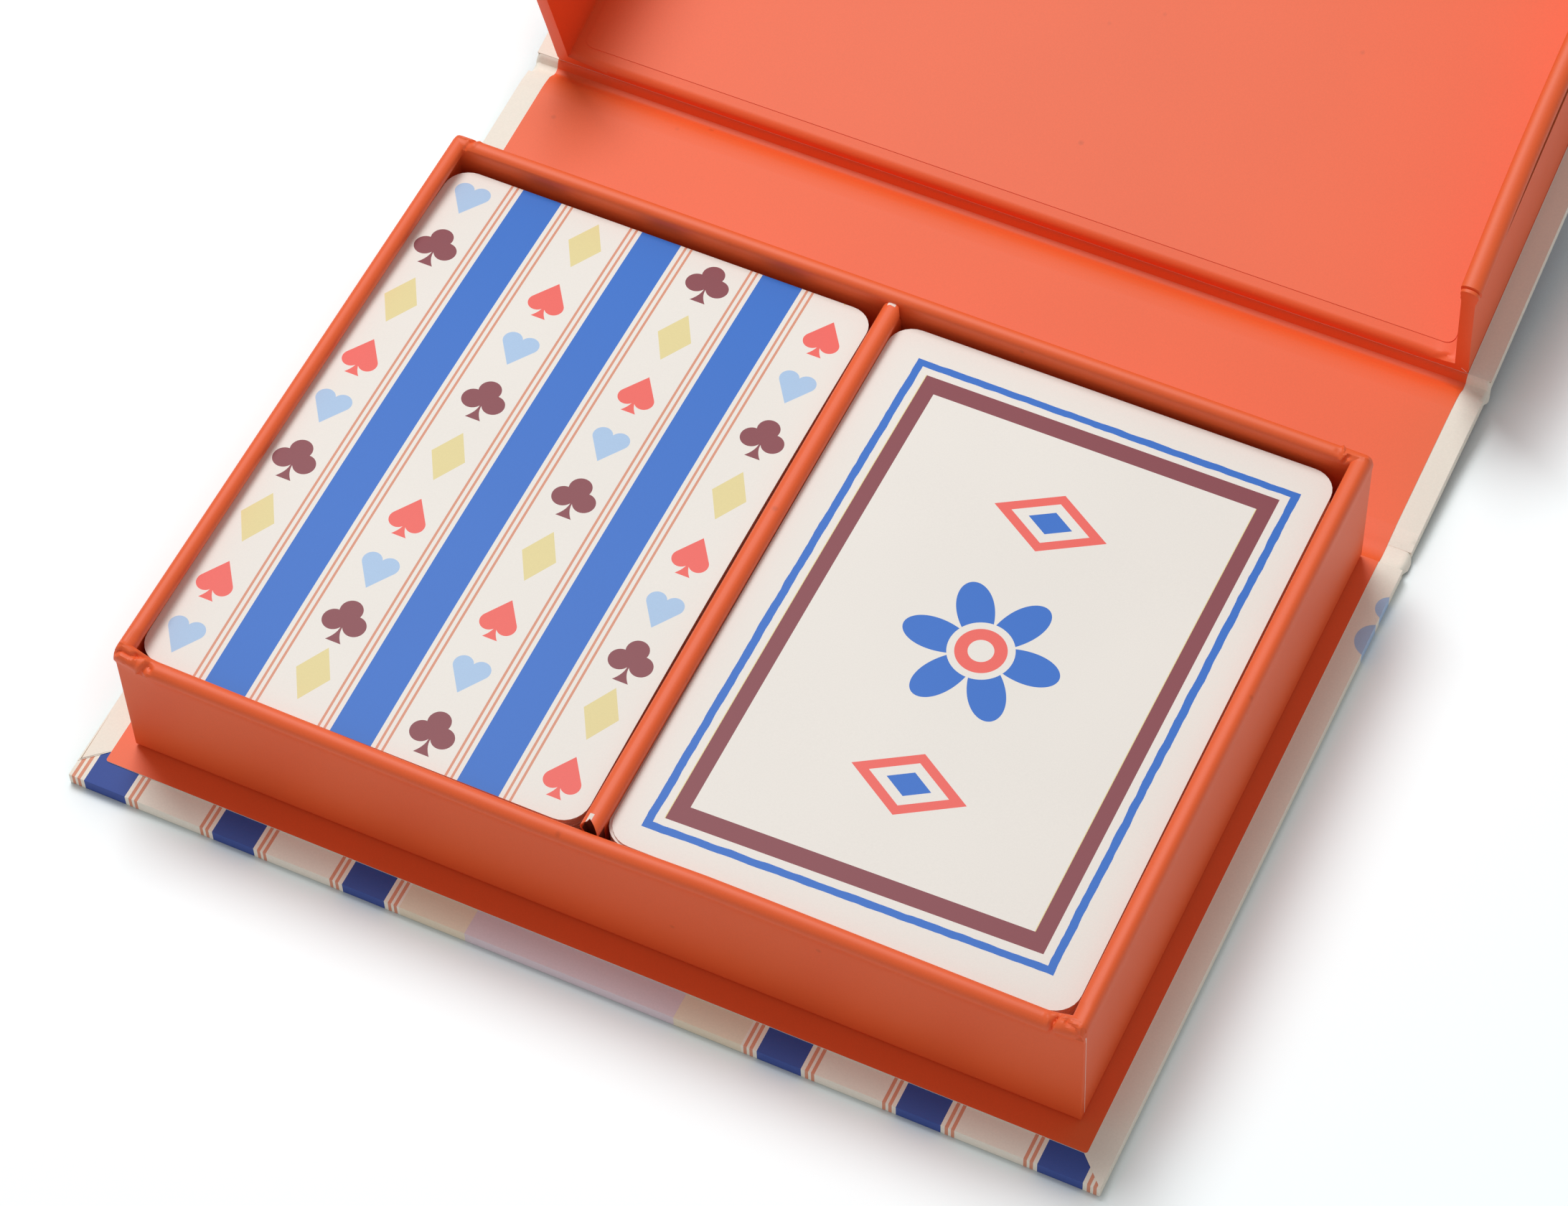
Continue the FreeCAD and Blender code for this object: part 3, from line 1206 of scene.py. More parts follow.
    def build_liner(self) -> None:
        """The orange paper pasted over the turn-ins, with slightly rounded corners."""
        s = self.sizes
        free = s.liner_end_margin
        low, high = {
            "base": (self.y_low + free, self.y_high),
            "spine": (self.y_low + s.liner_overlap, self.y_high - s.liner_overlap),
            "lid": (self.y_low, self.y_high - free),
        }[self.body]
        half = s.liner_half_width
        liner = Workpiece.block(
            f"{self.body}_liner_paper", (-half, low, s.turn_in_top), (half, high, s.case_top)
        )

        with liner.edges(lambda m, d: abs(d.z) > 0.9 and not self.clear_of_ends(m, free + 0.001)):
            bpy.ops.mesh.bevel(offset=s.corner_ease, segments=3, affect="EDGES")
        liner.dress(self.palette.orange, self.palette.core)
        liner.dress_faces(1, lambda c, n: abs(n.z) < 0.3)
        liner.hand_over(self.body, Slot.ORANGE, f"{self.body}_liner", place=self.place, smooth=30)


@dataclass
class PaperHinge:
    """The cover and liner papers that run across the gap between two panels."""

    name: str
    bodies: tuple[str, str]
    palette: Palette
    cover_line: Sequence[tuple[float, float]]
    liner_line: Sequence[tuple[float, float]]
    start: tuple[float, float]
    end: tuple[float, float]
    pinch: float = 0.6
    turned_drop: float = 0.07
    edge_roll: float = 0.93
    sizes: BoxSizes = SIZES

    def build(self) -> None:
        """Builds both papers."""
        s = self.sizes
        cover = Workpiece.strip(f"{self.name}_cover_strip", s.panel_half_width, self.cover_line)
        cover.modifier("SOLIDIFY", thickness=s.cover_paper, offset=1.0)
        self.finish(cover, Slot.COVER, self.palette.cover_fold)
        folded = [(y, z - self.turned_drop) for y, z in self.liner_line]
        half = s.panel_half_width
        turned = Workpiece.strip(f"{self.name}_turned_strip", half - 0.02, folded)
        turned.split("X", mirrored(half - step for step in (0.9, 0.62, 0.4, 0.24, 0.12, 0.05)))
        turned.reshape(self.turn_down)
        turned.modifier("SOLIDIFY", thickness=s.cover_paper, offset=-1.0)
        self.finish(turned, Slot.COVER, self.palette.cover_plain)
        liner = Workpiece.strip(f"{self.name}_liner_strip", s.liner_half_width, self.liner_line)
        liner.split("X", [x * 4.0 for x in range(-17, 18)])
        liner.modifier("SOLIDIFY", thickness=s.liner_paper, offset=-1.0)
        self.finish(liner, Slot.ORANGE, self.palette.orange)

    def turn_down(self, c: Vector) -> Vector:
        """How the folded edge rolls over at the hinge's ends, with the pinch at the crease.

        Args:
            c: A point of the folded strip.

        Returns:
            How far it moves.
        """
        past = abs(c.x) - (self.sizes.panel_half_width - 0.02 - self.edge_roll)
        over = min(1.0, max(0.0, past / self.edge_roll))
        if over == 0:
            return Vector()
        middle = (self.start[0] + self.end[0]) / 2
        pinch = math.exp(-(((c.y - middle - 0.2) / 0.9) ** 2))
        span = abs(self.end[0] - self.start[0])
        away = max(0.0, min(1.0, (span / 2 + 1.2 - abs(c.y - middle)) / 1.2))
        drop = (1 - math.sqrt(1 - over**2)) * 1.1
        rise = 0.7 * self.pinch * pinch * math.sin(math.pi * over)
        return Vector((math.copysign(self.pinch * pinch * over, c.x), 0.0, (rise - drop) * away))

    def finish(self, piece: Workpiece, slot: Slot, finish: bpy.types.Material) -> None:
        """Dresses a strip and settles it in place.

        Args:
            piece: The strip.
            slot: Its material slot.
            finish: Its material.
        """
        piece.dress(finish)
        piece.settle(BASE_FRAME, smooth=50)
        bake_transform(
            piece.item,
            *self.bodies,
            start=(0, self.start[0] * MM, self.start[1] * MM),
            end=(0, self.end[0] * MM, self.end[1] * MM),
        )
        piece.register(" and ".join(self.bodies), slot)


# ---------------------------------------------------------------------------------------------
# Trays
# ---------------------------------------------------------------------------------------------


# Folds of the card tray's corners: the line, how far its effect reaches, its depth, its keenness.
CARD_TRAY_FOLDS = (
    # front right: a pinch in the rim, a rounded bulge, and a tongue of paper round the corner
    (((62.9, -43.4, 22.4), (62.95, -43.3, 23.6), (63.2, -42.8, 24.4), (63.6, -42.2, 24.45)), 0.75, -0.42, 1.4),
    (((61.9, -42.4, 24.4), (62.3, -42.9, 24.2), (62.6, -43.35, 23.0)), 0.55, 0.2, 1.6),
    (((63.75, -42.4, 24.4), (63.5, -43.1, 23.9), (63.2, -43.4, 22.9)), 0.5, 0.2, 1.6),
    (((64.4, -43.2, 23.9), (65.3, -43.3, 23.4)), 1.4, 0.16, 1.4),
    (((65.0, -42.7, 24.45), (66.0, -43.0, 24.2), (66.5, -43.3, 23.6), (66.7, -43.35, 23.0)), 0.34, -0.3, 1.0),
    (((64.3, -42.5, 24.45), (65.4, -42.4, 24.45), (66.6, -42.7, 24.1), (67.1, -42.9, 23.4)), 0.3, -0.16, 1.0),
    (((65.4, -42.6, 24.45), (66.3, -42.9, 24.2)), 0.4, 0.12, 1.2),
    # front left: a crease from the outer to the inner corner, with crumpled paper beside it
    (((-67.1, -43.2, 23.9), (-66.1, -42.9, 24.4), (-65.2, -43.0, 24.4), (-64.3, -42.5, 24.45)), 0.4, -0.36, 1.1),
    (((-64.3, -42.5, 24.45), (-63.2, -42.0, 24.4), (-62.5, -41.7, 24.1)), 0.4, -0.34, 1.1),
    (((-66.7, -42.2, 24.4), (-65.2, -42.1, 24.45), (-63.7, -41.9, 24.4)), 0.42, 0.16, 1.5),
    (((-63.1, -43.4, 22.8), (-62.8, -43.2, 23.9), (-62.2, -42.8, 24.4), (-61.7, -43.0, 24.3)), 0.5, -0.32, 1.2),
    (((-63.6, -43.4, 23.1), (-63.3, -43.0, 24.1), (-62.7, -42.3, 24.45)), 0.6, 0.24, 1.4),
    (((-62.0, -43.3, 23.6), (-61.2, -42.9, 24.3)), 0.6, 0.14, 1.4),
    (((-65.6, -43.35, 23.6), (-64.6, -43.3, 23.9)), 0.9, 0.12, 1.4),
    # back left: small wrinkles beside the inner corner
    (((-66.4, 50.2, 24.4), (-65.4, 50.0, 24.45), (-64.8, 49.8, 24.4)), 0.35, 0.14, 1.4),
    (((-65.0, 49.2, 24.0), (-64.7, 49.8, 24.4), (-64.3, 50.4, 24.4), (-63.8, 50.8, 23.9)), 0.42, -0.28, 1.2),
    (((-63.9, 49.7, 24.4), (-63.4, 50.5, 24.35)), 0.45, 0.13, 1.4),
    (((-66.9, 50.6, 24.0), (-67.1, 50.7, 23.4)), 0.5, 0.12, 1.2),
    # back right: two ridges that meet above the inner corner
    (((63.0, 50.7, 24.2), (63.5, 49.9, 24.45), (63.9, 49.1, 24.3)), 0.38, 0.24, 1.5),
    (((63.9, 49.1, 24.3), (64.2, 49.7, 24.45), (64.9, 49.7, 24.45), (66.9, 49.9, 24.4)), 0.36, 0.16, 1.5),
    (((64.0, 48.7, 23.6), (64.4, 49.2, 24.3), (64.7, 49.35, 24.4)), 0.45, -0.34, 1.2),
    (((62.6, 49.6, 24.4), (63.2, 49.2, 24.2)), 0.5, -0.14, 1.4),
)


# Folds by the near edge of the lid tray's floor, from that edge and the floor.
LID_TRAY_FOLDS = (
    (((65.0, 0.1, -0.6), (66.0, 0.5, 0.0), (67.2, 1.4, 0.0)), 0.7, -0.16, 1.4),
    (((65.4, 0.8, 0.0), (66.4, 1.6, 0.0)), 0.8, 0.14, 1.6),
    (((67.0, 0.6, 0.0), (67.3, 3.0, 0.0)), 0.6, 0.12, 1.4),
)


# How much further out the lid tray's far wall stands, to clear the roll on the card tray's front rim.
LID_TRAY_PLAY = 0.9
# The pale cut edge of the wrap, by the card tray's near right corner: its start, slant and width.
SEAM_IN, SEAM_TOP = 0.26, 23.69
SEAM_SLANT = 0.21 / 5.75
SEAM_WIDTH = 0.1


@dataclass(frozen=True)
class Roll:
    """How far the paper roll on a rim stands proud of the wall, in millimetres."""

    inward: float
    outward: float


@dataclass
class WrappedTray:
    """A board tray wrapped in paper: floor, walls and rounded rims."""

    name: str
    body: str
    node: str
    prefix: str
    place: PanelFrame
    half_width: float
    near: float
    far: float
    height: float
    open_near: bool
    floor_top: float
    palette: Palette
    sizes: BoxSizes = SIZES
    folds: Sequence[tuple[Sequence[Point], float, float, float]] = ()
    corner_radius: float = 1.0
    rim_radius: float = 0.9
    foot_radius: float = 0.8
    roll_depth: float = 3.4
    roll_fade: float = 2.4
    wrinkled_height: float = 4.2
    wrinkled_reach: float = 8.0
    loop_pitch: float = 8.0
    rim_settle: float = 0.4
    settle_fade: float = 3.3
    sag_depth: float = 14.5
    sag_end: float = 6.0
    lean_out: float = 0.95
    lean_reach: float = 38.0
    floor_edge_radius: float = 1.25
    free_end_radius: float = 0.4
    left_roll: Roll = Roll(0.3, 0.05)
    right_roll: Roll = Roll(0.55, 0.1)
    near_roll: Roll = Roll(0.0, 0.5)
    far_roll: Roll = Roll(0.3, 0.1)
    sag: float = 0.0

    def rough_out(self) -> Workpiece:
        """The tray, pressed down out of a block whose rim has been rounded step by step.

        Returns:
            The piece under way.
        """
        s = self.sizes
        base = s.case_top
        top = base + self.height
        near = self.near - 20 if self.open_near else self.near
        r = self.rim_radius
        tray = Workpiece.block(
            self.name, (-self.half_width, near, base), (self.half_width, self.far, top - r)
        )
        with tray.edges(lambda m, d: abs(d.z) > 0.9):
            bpy.ops.mesh.bevel(offset=self.corner_radius, segments=4, affect="EDGES")
        with tray.edges(lambda m, d: abs(m.z - base) < 0.001):
            bpy.ops.mesh.bevel(offset=self.foot_radius, segments=4, affect="EDGES")
        turns = [math.radians(15 * step) for step in range(7)]
        arc = [(r * (1 - math.cos(turn)), r * math.sin(turn)) for turn in turns]
        outward = [(x1 - x0, z1 - z0) for (x0, z0), (x1, z1) in zip(arc, arc[1:])]
        inward = [(depth, -step) for step, depth in outward]
        with tray.faces(lambda c, n: n.z > 0.9):
            for thickness, depth in outward + [(s.wall - 2 * r, 0.0)]:
                bpy.ops.mesh.inset(thickness=thickness, depth=depth)
        ring = self.half_width - (s.wall - r) + 0.14
        with tray.points(lambda c: c.z > top - 0.001 and abs(c.x) < ring and self.past_flat(c, near)):
            bpy.ops.mesh.remove_doubles(threshold=0.2)
        with tray.faces(lambda c, n: n.z > 0.9 and abs(c.x) < 1 and self.near + 5 < c.y < self.far - 5):
            for thickness, depth in inward:
                bpy.ops.mesh.inset(thickness=thickness, depth=depth)
            bpy.ops.mesh.extrude_region_move(
                TRANSFORM_OT_translate={"value": (0, 0, self.floor_top + r - self.height)}
            )
        if self.open_near:
            tray.cut((0, self.near, 0), (0, -1, 0), drop_far=True)
        self.refine(tray, top)
        return tray

    def walled_ends(self) -> list[float]:
        """Outer faces of the walls that run across."""
        return [self.far] if self.open_near else [self.near, self.far]

    def swell(self, c: Vector) -> Vector:
        """How the paper roll along the rim stands proud of the wall on both sides.

        Args:
            c: A point of the tray.

        Returns:
            How far it moves.
        """
        below = self.sizes.case_top + self.height - c.z
        share = ease((self.roll_depth - below) / self.roll_fade)
        middle = self.sizes.wall / 2

        def away(depth: float, roll: Roll) -> float:
            """How far a point of a wall moves away from the tray.

            Args:
                depth: How deep it lies behind the wall's outer face.
                roll: The roll on that wall.

            Returns:
                The move, inwards if negative.
            """
            off = middle - depth
            if off < -middle:
                return -roll.inward * max(0.0, 1 - (-middle - off) / 2.5)
            return off / middle * (roll.outward if off > 0 else roll.inward)

        side, way = (self.left_roll, -1) if c.x < 0 else (self.right_roll, 1)
        move = Vector((way * away(self.half_width - abs(c.x), side), 0.0, 0.0))
        move.y = away(self.far - c.y, self.far_roll)
        depths = [self.half_width - abs(c.x), self.far - c.y]
        if not self.open_near:
            depths.append(c.y - self.near)
            if c.y - self.near < self.far - c.y:
                move.y = -away(c.y - self.near, self.near_roll)
        move *= share
        inner = self.half_width - self.sizes.wall
        if self.sag and -inner - middle + 0.1 < c.x < 0 and c.z > self.sizes.case_top + 2:
            fade = max(0.0, 1 - max(0.0, inner - abs(c.x)) / 1.5)
            move.x -= 0.5 * (1 - share) * fade
        if min(depths) < middle:
            radius = self.rim_radius
            settled = min(1.0, below / radius) * (1 - ease((below - radius) / self.settle_fade))
            move.z -= self.rim_settle * settled
        if self.sag and c.y - self.near < 4.0:
            move += self.sink(c, below)
        return move

    def sharpen(self, c: Vector) -> Vector:
        """How far a point of a wall's upright corner moves out to make the corner keener.

        Args:
            c: A point of the tray.

        Returns:
            How far it moves.
        """
        below = self.sizes.case_top + self.height - c.z
        share = max(0.0, min(1.0, (below - 0.3) / 1.5))
        for end in self.walled_ends():
            deep = Vector((self.half_width - abs(c.x), abs(c.y - end)))
            radius = self.corner_radius
            if max(deep) > radius + 0.001 or share == 0:
                continue
            arc = Vector((radius - deep.x, radius - deep.y)) / radius
            if abs(arc.length - 1) > 0.1:
                continue
            keen = Vector((0.3 - 0.3 * arc.x, 0.3 - 0.3 * arc.y))
            shift = (keen - deep) * share
            return Vector((math.copysign(1, c.x) * -shift.x, shift.y if end == self.near else -shift.y, 0.0))
        return Vector()

    def on_seam(self, c: Vector, n: Vector) -> bool:
        """Whether a face is the pale cut edge of the paper beside the near right corner."""
        line = self.near + SEAM_IN + (SEAM_TOP - c.z) * SEAM_SLANT
        return n.x > 0.8 and -0.02 < c.y - line < SEAM_WIDTH + 0.02 and 3.0 < c.z < SEAM_TOP - 0.49

    def sink(self, c: Vector, below: float) -> Vector:
        """How far the near rim sinks and leans out between its corners.

        Args:
            c: A point of the tray.
            below: How far it is under the rim's top.

        Returns:
            How far it moves.
        """
        slack = 1.0 + max(0.0, c.x + 60) * 0.0068 if c.x < -5 else max(0.7, 1.37 - (c.x + 5) * 0.03)
        height = max(0.0, 1 - below / self.sag_depth) ** 1.5 * 1.1
        fade = max(0.0, min(1.0, 4.0 - (c.y - self.near)))
        ends = ease((self.half_width - abs(c.x)) / self.sag_end)
        amount = self.sag * slack * ends * fade * height
        return Vector((0.0, -0.35 * amount, -1.05 * amount))

    def finish_free_ends(self, tray: Workpiece) -> None:
        """Rounds the floor's free edge and the walls' free ends, and lets those lean outwards.

        Args:
            tray: The piece under way.
        """
        s = self.sizes
        floor = s.case_top + self.floor_top
        inner = self.half_width - s.wall
        corner = Vector((inner, 0.0, floor))

        def floor_edge(m: Vector, d: Vector) -> bool:
            """Whether an edge is the floor's free edge."""
            return abs(m.y - self.near) < 0.001 and abs(m.z - floor) < 0.001 and abs(m.x) < inner

        with tray.edges(floor_edge):
            radius = self.floor_edge_radius
            bpy.ops.mesh.bevel(offset=radius, segments=6, affect="EDGES", clamp_overlap=False)

        def end_edge(m: Vector, d: Vector) -> bool:
            """Whether an edge belongs to a wall's free end."""
            return abs(m.y - self.near) < 0.001 and m.z > floor + 0.3 and abs(m.x) > inner - 0.5

        with tray.edges(end_edge):
            radius = self.free_end_radius
            bpy.ops.mesh.bevel(offset=radius, segments=3, affect="EDGES", clamp_overlap=True)
        top = s.case_top + self.height
        tray.split("Y", [self.near + step for step in (0.45, 0.6, 0.75, 0.95)], lambda c, n: c.z > top - 2.6)
        places = [inner - 0.5 * step for step in range(14)]
        tray.split("X", places, lambda c, n: c.y < self.near + 3 and abs(c.z - floor) < 1.3)
        foot = Vector((self.floor_top, 0.0, s.wall)).normalized()
        for off in (0.0, 0.12):
            tray.cut(corner + off * foot, foot, lambda c, n: n.y < -0.9 and c.x > inner - 0.2)

        def on_foot(c: Vector, n: Vector) -> bool:
            """Whether a face is the pale cut edge at the right wall's foot."""
            return n.y < -0.9 and c.x > inner and 0 < (c - corner).dot(foot) < 0.12

        tray.dress_faces(1, on_foot)
        tray.reshape(self.curl)
        for line, reach, depth, keen in LID_TRAY_FOLDS:
            tray.crease([(x, self.near + y, floor + z) for x, y, z in line], reach, depth, keen)
        tray.reshape(self.lean)

    def curl(self, c: Vector) -> Vector:
        """How the roll's open end is drawn in behind a fine edge.

        Args:
            c: A point of the tray.

        Returns:
            How far it moves.
        """
        below = self.sizes.case_top + self.height - c.z
        past = c.y - self.near
        middle = self.half_width - self.sizes.wall / 2
        if past > 0.7 or below > 2.2 or abs(abs(c.x) - middle) > 1.6:
            return Vector()
        side = math.copysign(middle, c.x)
        inward = 0.26 if past > 0.55 else 0.14
        return Vector(((side - c.x) * inward, 0.0, -inward * max(0.0, 1.6 - below)))

    def lean(self, c: Vector) -> Vector:
        """How far a point of a free wall end leans outwards.

        Args:
            c: A point of the tray.

        Returns:
            How far it moves.
        """
        height = max(0.0, (c.z - self.sizes.case_top - 3.0) / self.height)
        fade = max(0.0, 1 - (c.y - self.near) / self.lean_reach)
        if abs(c.x) < self.half_width - 3:
            return Vector()
        return Vector((math.copysign(self.lean_out * height * fade * fade, c.x), 0.0, 0.0))

    def refine(self, tray: Workpiece, top: float) -> None:
        """Cuts loops along the walls, close together where the paper is folded at the corners.

        Args:
            tray: The piece under way.
            top: Height of the rim.
        """
        half, reach = self.half_width, self.wrinkled_reach
        low_edge = top - self.wrinkled_height
        crest = 1.02
        ends = self.walled_ends()
        inward = [1 if end == self.near else -1 for end in ends]
        tray.split("Z", [top - step for step in (1.3, 1.8, 2.4, 3.2, 4.2, 5.4, 7.0, 9.0, 11.5, 14.5)])
        for step in (crest, reach):
            tray.split("X", mirrored([half - step]))
            tray.split("Y", [end + way * step for end, way in zip(ends, inward)])
        fine = [6.0 - 0.2 * step for step in range(30)]

        def folded(c: Vector, n: Vector) -> bool:
            """Whether a face lies by a corner, where the paper is folded."""
            at_end = any(abs(c.y - end) < reach for end in ends)
            return c.z > low_edge and abs(c.x) > half - reach and at_end

        tray.split("X", mirrored(half - step for step in fine), folded)
        tray.split("Y", [end + way * step for end, way in zip(ends, inward) for step in fine], folded)
        tray.split("X", [x * self.loop_pitch for x in range(-7, 8)], lambda c, n: c.z > low_edge)
        rows = range(math.ceil(self.near / self.loop_pitch) + 1, int(self.far / self.loop_pitch))
        tray.split("Y", [y * self.loop_pitch for y in rows], lambda c, n: c.z > low_edge)

    def past_flat(self, c: Vector, near: float) -> bool:
        """Whether a point is on the inner edge of the rim's level top.

        Args:
            c: The point.
            near: Where the block's near side is.

        Returns:
            True on that edge.
        """
        flat = self.sizes.wall - self.rim_radius - 0.02
        return self.half_width - abs(c.x) > flat and self.far - c.y > flat and c.y - near > flat

    def build(self) -> None:
        """Builds the wrapped tray and its boards."""
        tray = self.rough_out()
        tray.dress(self.palette.orange, self.palette.core)
        tray.reshape(self.sharpen)
        if self.sag:
            across = Vector((0, 1, SEAM_SLANT)).normalized()
            for off in (0.0, SEAM_WIDTH):
                start = (0, self.near + SEAM_IN + off, SEAM_TOP)
                tray.cut(start, across, lambda c, n: n.x > 0.9 and c.x > 60 and c.z > 3.75)
            tray.dress_faces(1, self.on_seam)
        for fold in self.folds:
            tray.crease(*fold)
        tray.reshape(self.swell)
        if self.open_near:
            self.finish_free_ends(tray)
        tray.hand_over(self.body, Slot.ORANGE, self.node, place=self.place, smooth=22)
        self.build_boards()

    def build_boards(self) -> None:
        """The boards inside the paper, a little eased off along their upper edges."""
        s = self.sizes
        inset, thick = 0.3, s.wall - 1.1
        low, high = s.case_top + self.floor_top - 0.3, s.case_top + self.height - 0.75
        side_low, side_high = self.near + (0.6 if self.open_near else s.wall), self.far - s.wall
        outer, inner = self.half_width - inset, self.half_width - inset - thick
        reach = self.half_width - 1.0
        far_wall = ((-reach, self.far - inset - thick, low), (reach, self.far - inset, high))
        walls = {
            "left_wall": ((-outer, side_low, low), (-inner, side_high, high)),
            "right_wall": ((inner, side_low, low), (outer, side_high, high)),
            "far_wall" if self.open_near else "back_wall": far_wall,
        }
        start = self.near + 1.0
        if not self.open_near:
            front = self.near + inset
            walls["front_wall"] = ((-reach, front, low), (reach, front + thick, high - 1.6))
            start = self.near + 0.4
        walls["floor_board"] = (
            (-self.half_width + 0.4, start, s.case_top + 0.2),
            (self.half_width - 0.4, self.far - 0.4, s.case_top + self.floor_top - 0.35),
        )
        for name, (near_low, far_high) in walls.items():
            board = Workpiece.block(f"{self.prefix}_{name}_core", near_low, far_high)
            with board.edges(lambda m, d: m.z > far_high[2] - 0.001):
                bpy.ops.mesh.bevel(offset=s.corner_ease, segments=3, affect="EDGES")
            if self.open_near and "floor" not in name:
                board.split("Y", [self.near + 5.0 * step for step in range(1, 8)])
                board.reshape(self.lean)
            board.dress(self.palette.board)
            board.hand_over(self.body, Slot.BOARD, f"{self.prefix}_{name}", place=self.place)


@dataclass
class LidLining:
    """The sheet pasted on the floor of the lid tray."""

    place: PanelFrame
    palette: Palette
    half_width: float = 66.4
    near: float = 4.9
    far: float = 96.8
    corner: float = 1.3
    thickness: float = 0.09
    sizes: BoxSizes = SIZES

    def build(self) -> None:
        """Builds the lining with rounded corners."""
        half = self.half_width
        level = self.sizes.case_top + self.sizes.lid_tray_floor
        lining = Workpiece.block(
            "lid_lining_paper", (-half, self.near, level - 0.02), (half, self.far, level + self.thickness)
        )
        with lining.edges(lambda m, d: abs(d.z) > 0.9):
            bpy.ops.mesh.bevel(offset=self.corner, segments=6, affect="EDGES")
        lining.dress(self.palette.orange)
        lining.hand_over("lid", Slot.ORANGE, "lid_tray_lining", place=self.place, smooth=30)


# The torn ends of the divider's jacket, seen from above.
NEAR_TEAR = (
    (-1.9, -41.6), (-1.27, -41.4), (-0.84, -41.06), (-0.67, -40.6), (-0.4, -40.8), (-0.06, -41.06),
    (1.2, -42.15),
)
FAR_TEAR = ((-1.9, 48.45), (-0.93, 48.78), (-0.68, 49.31), (0.32, 48.92), (0.7, 48.2), (1.2, 47.4))


@dataclass
class Divider:
    """The paper jacket over the divider board."""

    palette: Palette
    left: float = -1.72
    right: float = 1.05
    near: float = -41.5
    top_radius: float = 1.2
    sizes: BoxSizes = SIZES

    def build(self) -> None:
        """Builds the jacket, a bent sheet that is torn at its ends, and the board in it."""
        self.build_jacket()
        self.build_board()

    def build_jacket(self) -> None:
        """The paper, with a rounded top, open and torn at its near end."""
        s = self.sizes
        top = s.divider_top
        low = (self.left, self.near, s.case_top + s.tray_floor + 0.01)
        jacket = Workpiece.block("divider_paper", low, (self.right, s.panel_back - s.wall, top))
        with jacket.edges(lambda m, d: abs(d.y) > 0.9 and m.z > top - 0.001):
            bpy.ops.mesh.bevel(offset=self.top_radius, segments=7, affect="EDGES", clamp_overlap=False)
        with jacket.faces(lambda c, n: n.y < -0.9):
            bpy.ops.mesh.inset(thickness=0.2, depth=0.0)
            bpy.ops.mesh.extrude_region_move(TRANSFORM_OT_translate={"value": (0, 0.8, 0)})
        jacket.split("X", [-1.6, -1.3, -1.0, -0.84, -0.67, -0.4, -0.06, 0.3, 0.7])
        jacket.split("Y", [-40.6, -39.8, 47.4, 48.2, 48.7])
        jacket.split("Z", [top - 1.3, top - 1.9, top - 3.0])
        jacket.reshape(self.tear)
        jacket.dress(self.palette.orange, self.palette.core, self.palette.reverse)
        jacket.dress_faces(1, lambda c, n: n.z > 0.2 and c.y < -39.9 and abs(c.x + 0.62) < 0.3)
        jacket.dress_faces(1, lambda c, n: n.z > 0.3 and c.y > 48.25 and abs(c.x + 0.45) < 0.5)
        # The inside of the open end takes the paper back painted dark brown: painted shade.
        jacket.dress_faces(2, self.in_open_end)
        jacket.hand_over("base", Slot.ORANGE, "divider_wrap", smooth=50)

    def in_open_end(self, c: Vector, n: Vector) -> bool:
        """Whether a face lies inside the jacket's open end, where the paper's back takes the painted shade."""
        deep = self.near + 0.2 < c.y < self.near + 3.0 and 5.0 < c.z < self.sizes.divider_top - 0.15
        return deep and abs(c.x + 0.2) < 1.06 and n.z < 0.5

    def build_board(self) -> None:
        """The board inside the jacket."""
        s = self.sizes
        top = s.divider_top
        board = Workpiece.block("divider_core", (-0.85, -39.7, s.case_top + 1.8), (0.45, 48.6, top - 0.5))
        with board.edges(lambda m, d: m.z > top - 0.501):
            bpy.ops.mesh.bevel(offset=s.corner_ease, segments=3, affect="EDGES")
        board.dress(self.palette.board)
        board.hand_over("base", Slot.BOARD, "divider_board")

    def tear(self, c: Vector) -> Vector:
        """Pinches the jacket in below its roll and tears its ends.

        Args:
            c: A point of the jacket.

        Returns:
            How far it moves.
        """
        below = self.sizes.divider_top - c.z
        move = Vector()
        tuck = max(0.0, min(1.0, (below - 1.0) / 1.4))
        move.x = (-0.3 if c.x > -0.2 else 0.65) * tuck * min(1.0, abs(c.x + 0.2))
        torn = max(0.0, 1 - max(0.0, below - 1.2) / 2.2)
        back = self.sizes.panel_back - self.sizes.wall
        for end, reach, edge in ((self.near, 1.6, NEAR_TEAR), (back, 1.2, FAR_TEAR)):
            share = max(0.0, 1 - abs(c.y - end) / reach)
            for (x0, y0), (x1, y1) in zip(edge, edge[1:]):
                if x0 <= c.x < x1:
                    move.y += share * torn * (y0 + (y1 - y0) * (c.x - x0) / (x1 - x0) - end)
        return move


# ---------------------------------------------------------------------------------------------
# Cards
# ---------------------------------------------------------------------------------------------


